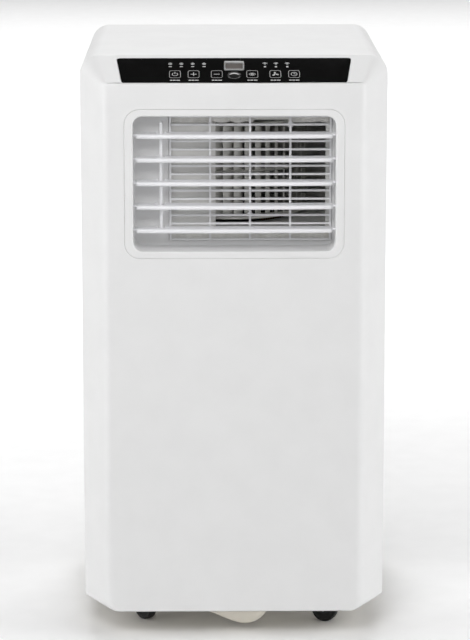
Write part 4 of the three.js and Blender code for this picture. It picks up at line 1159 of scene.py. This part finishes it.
# ---- inner parts kept from the frame
INNER_LOOKS = {
    "board": ("control_board",),
    "paint": ("evaporator_motor", "condenser_motor", "compressor", "accumulator"),
    "dark_duct": ("condenser_scroll", "exhaust_duct"),
    "natural": ("drain_tray",),
    "copper": ("suction_pipe", "discharge_pipe", "capillary_tube"),
    "brushed": ("electrical_box",),
}


# ---- studio
CAMERA_AT = Vector((-0.0415, -3.565, 1.1281))
CAMERA_PITCH = radians(12.5264)
CAMERA_YAW = radians(0.710)
CAMERA_LENS = 174.35
FLOOR_REACH = 40000
LIGHT_TARGET = (0, 0, 0.35)


def area_light(name, place, target, size, power, spread=pi):
    light = bpy.data.lights.new(name, "AREA")
    light.shape = "RECTANGLE"
    light.size, light.size_y = size
    light.energy = power
    light.spread = spread
    obj = bpy.data.objects.new(name, light)
    COLLECTION.objects.link(obj)
    obj.location = place
    obj.rotation_euler = (Vector(target) - Vector(place)).to_track_quat("-Z", "Y").to_euler()


def studio_world():
    """White surroundings: bright along the horizon, softer above it and dim at the zenith."""
    world = bpy.data.worlds.new("studio")
    world.use_nodes = True
    tree = world.node_tree
    place = tree.nodes.new("ShaderNodeTexCoord")
    split = tree.nodes.new("ShaderNodeSeparateXYZ")
    tree.links.new(place.outputs["Generated"], split.inputs["Vector"])
    strength = tree.nodes.new("ShaderNodeMath")
    strength.operation = "MULTIPLY"
    for i, limits in enumerate(((0.08, 0.42, 0.78, 0.15), (0.72, 0.9, 1.0, 0.5))):
        tree.links.new(map_range(tree, split.outputs["Z"], limits, "SMOOTHSTEP"), strength.inputs[i])
    background = tree.nodes["Background"]
    background.inputs["Color"].default_value = (1, 1, 1, 1)
    tree.links.new(strength.outputs["Value"], background.inputs["Strength"])
    return world


def studio():
    camera_data = bpy.data.cameras.new("camera")
    camera_data.lens = CAMERA_LENS
    camera_data.sensor_width = 36
    camera = bpy.data.objects.new("camera", camera_data)
    COLLECTION.objects.link(camera)
    camera.location = CAMERA_AT
    camera.rotation_euler = (pi / 2 - CAMERA_PITCH, 0, -CAMERA_YAW)
    bpy.context.scene.camera = camera

    floor = plate("studio_floor", rectangle((0, 0), FLOOR_REACH, FLOOR_REACH), -20, 0, "xy")
    floor.data.materials.append(moulded("studio_paper", 0.93, 0.8, vary=0.01).material)

    bpy.context.scene.world = studio_world()
    area_light("key", (-0.4, -1.6, 1.65), LIGHT_TARGET, (1.1, 0.9), 17)
    area_light("left", (-2.5, -0.6, 1.3), LIGHT_TARGET, (1.6, 2.4), 29)
    area_light("right", (2.5, -0.6, 1.3), LIGHT_TARGET, (1.6, 2.4), 39)
    area_light("back", (0, 1.6, 2.0), LIGHT_TARGET, (1.6, 1.0), 25)
    area_light("backdrop", (0, 3.9, 3.2), (0, 3.9, 0), (6.0, 5.0), 95, radians(60))
    bpy.context.scene.view_settings.view_transform = "Standard"


def build():
    front_panel()
    casing_wrap()
    handle_cup("left", -1)
    handle_cup("right", 1)
    louver_frame()
    for blade in BLADES:
        louver_blade(blade)
    louver_link()
    outlet_grille()
    control_fascia()
    for node in KEYS:
        key(node)
    panel_print()
    display()
    receiver()
    lamps()
    disc = pivot_mm("evaporator_blower_spin").z - Box("evaporator_blower_wheel").low.z
    blower_wheel("evaporator", "z", 88, 76, disc, 44, 0.128)
    blower_wheel("condenser", "y", 62, 53, 14, 32, -0.11)
    evaporator_scroll()
    foam_strips()
    base_pan()
    for place in CASTERS:
        caster(place)
    rear_panel()
    intake("upper", "filter_cassette")
    intake("lower", "cabinet")
    air_filter()
    exhaust_collar()
    rear_fittings()
    rear_screws()
    coil("evaporator_coil")
    coil("condenser_coil")
    for look, nodes in INNER_LOOKS.items():
        for node in nodes:
            wear(NODES[node].data, look)


studio()
build()
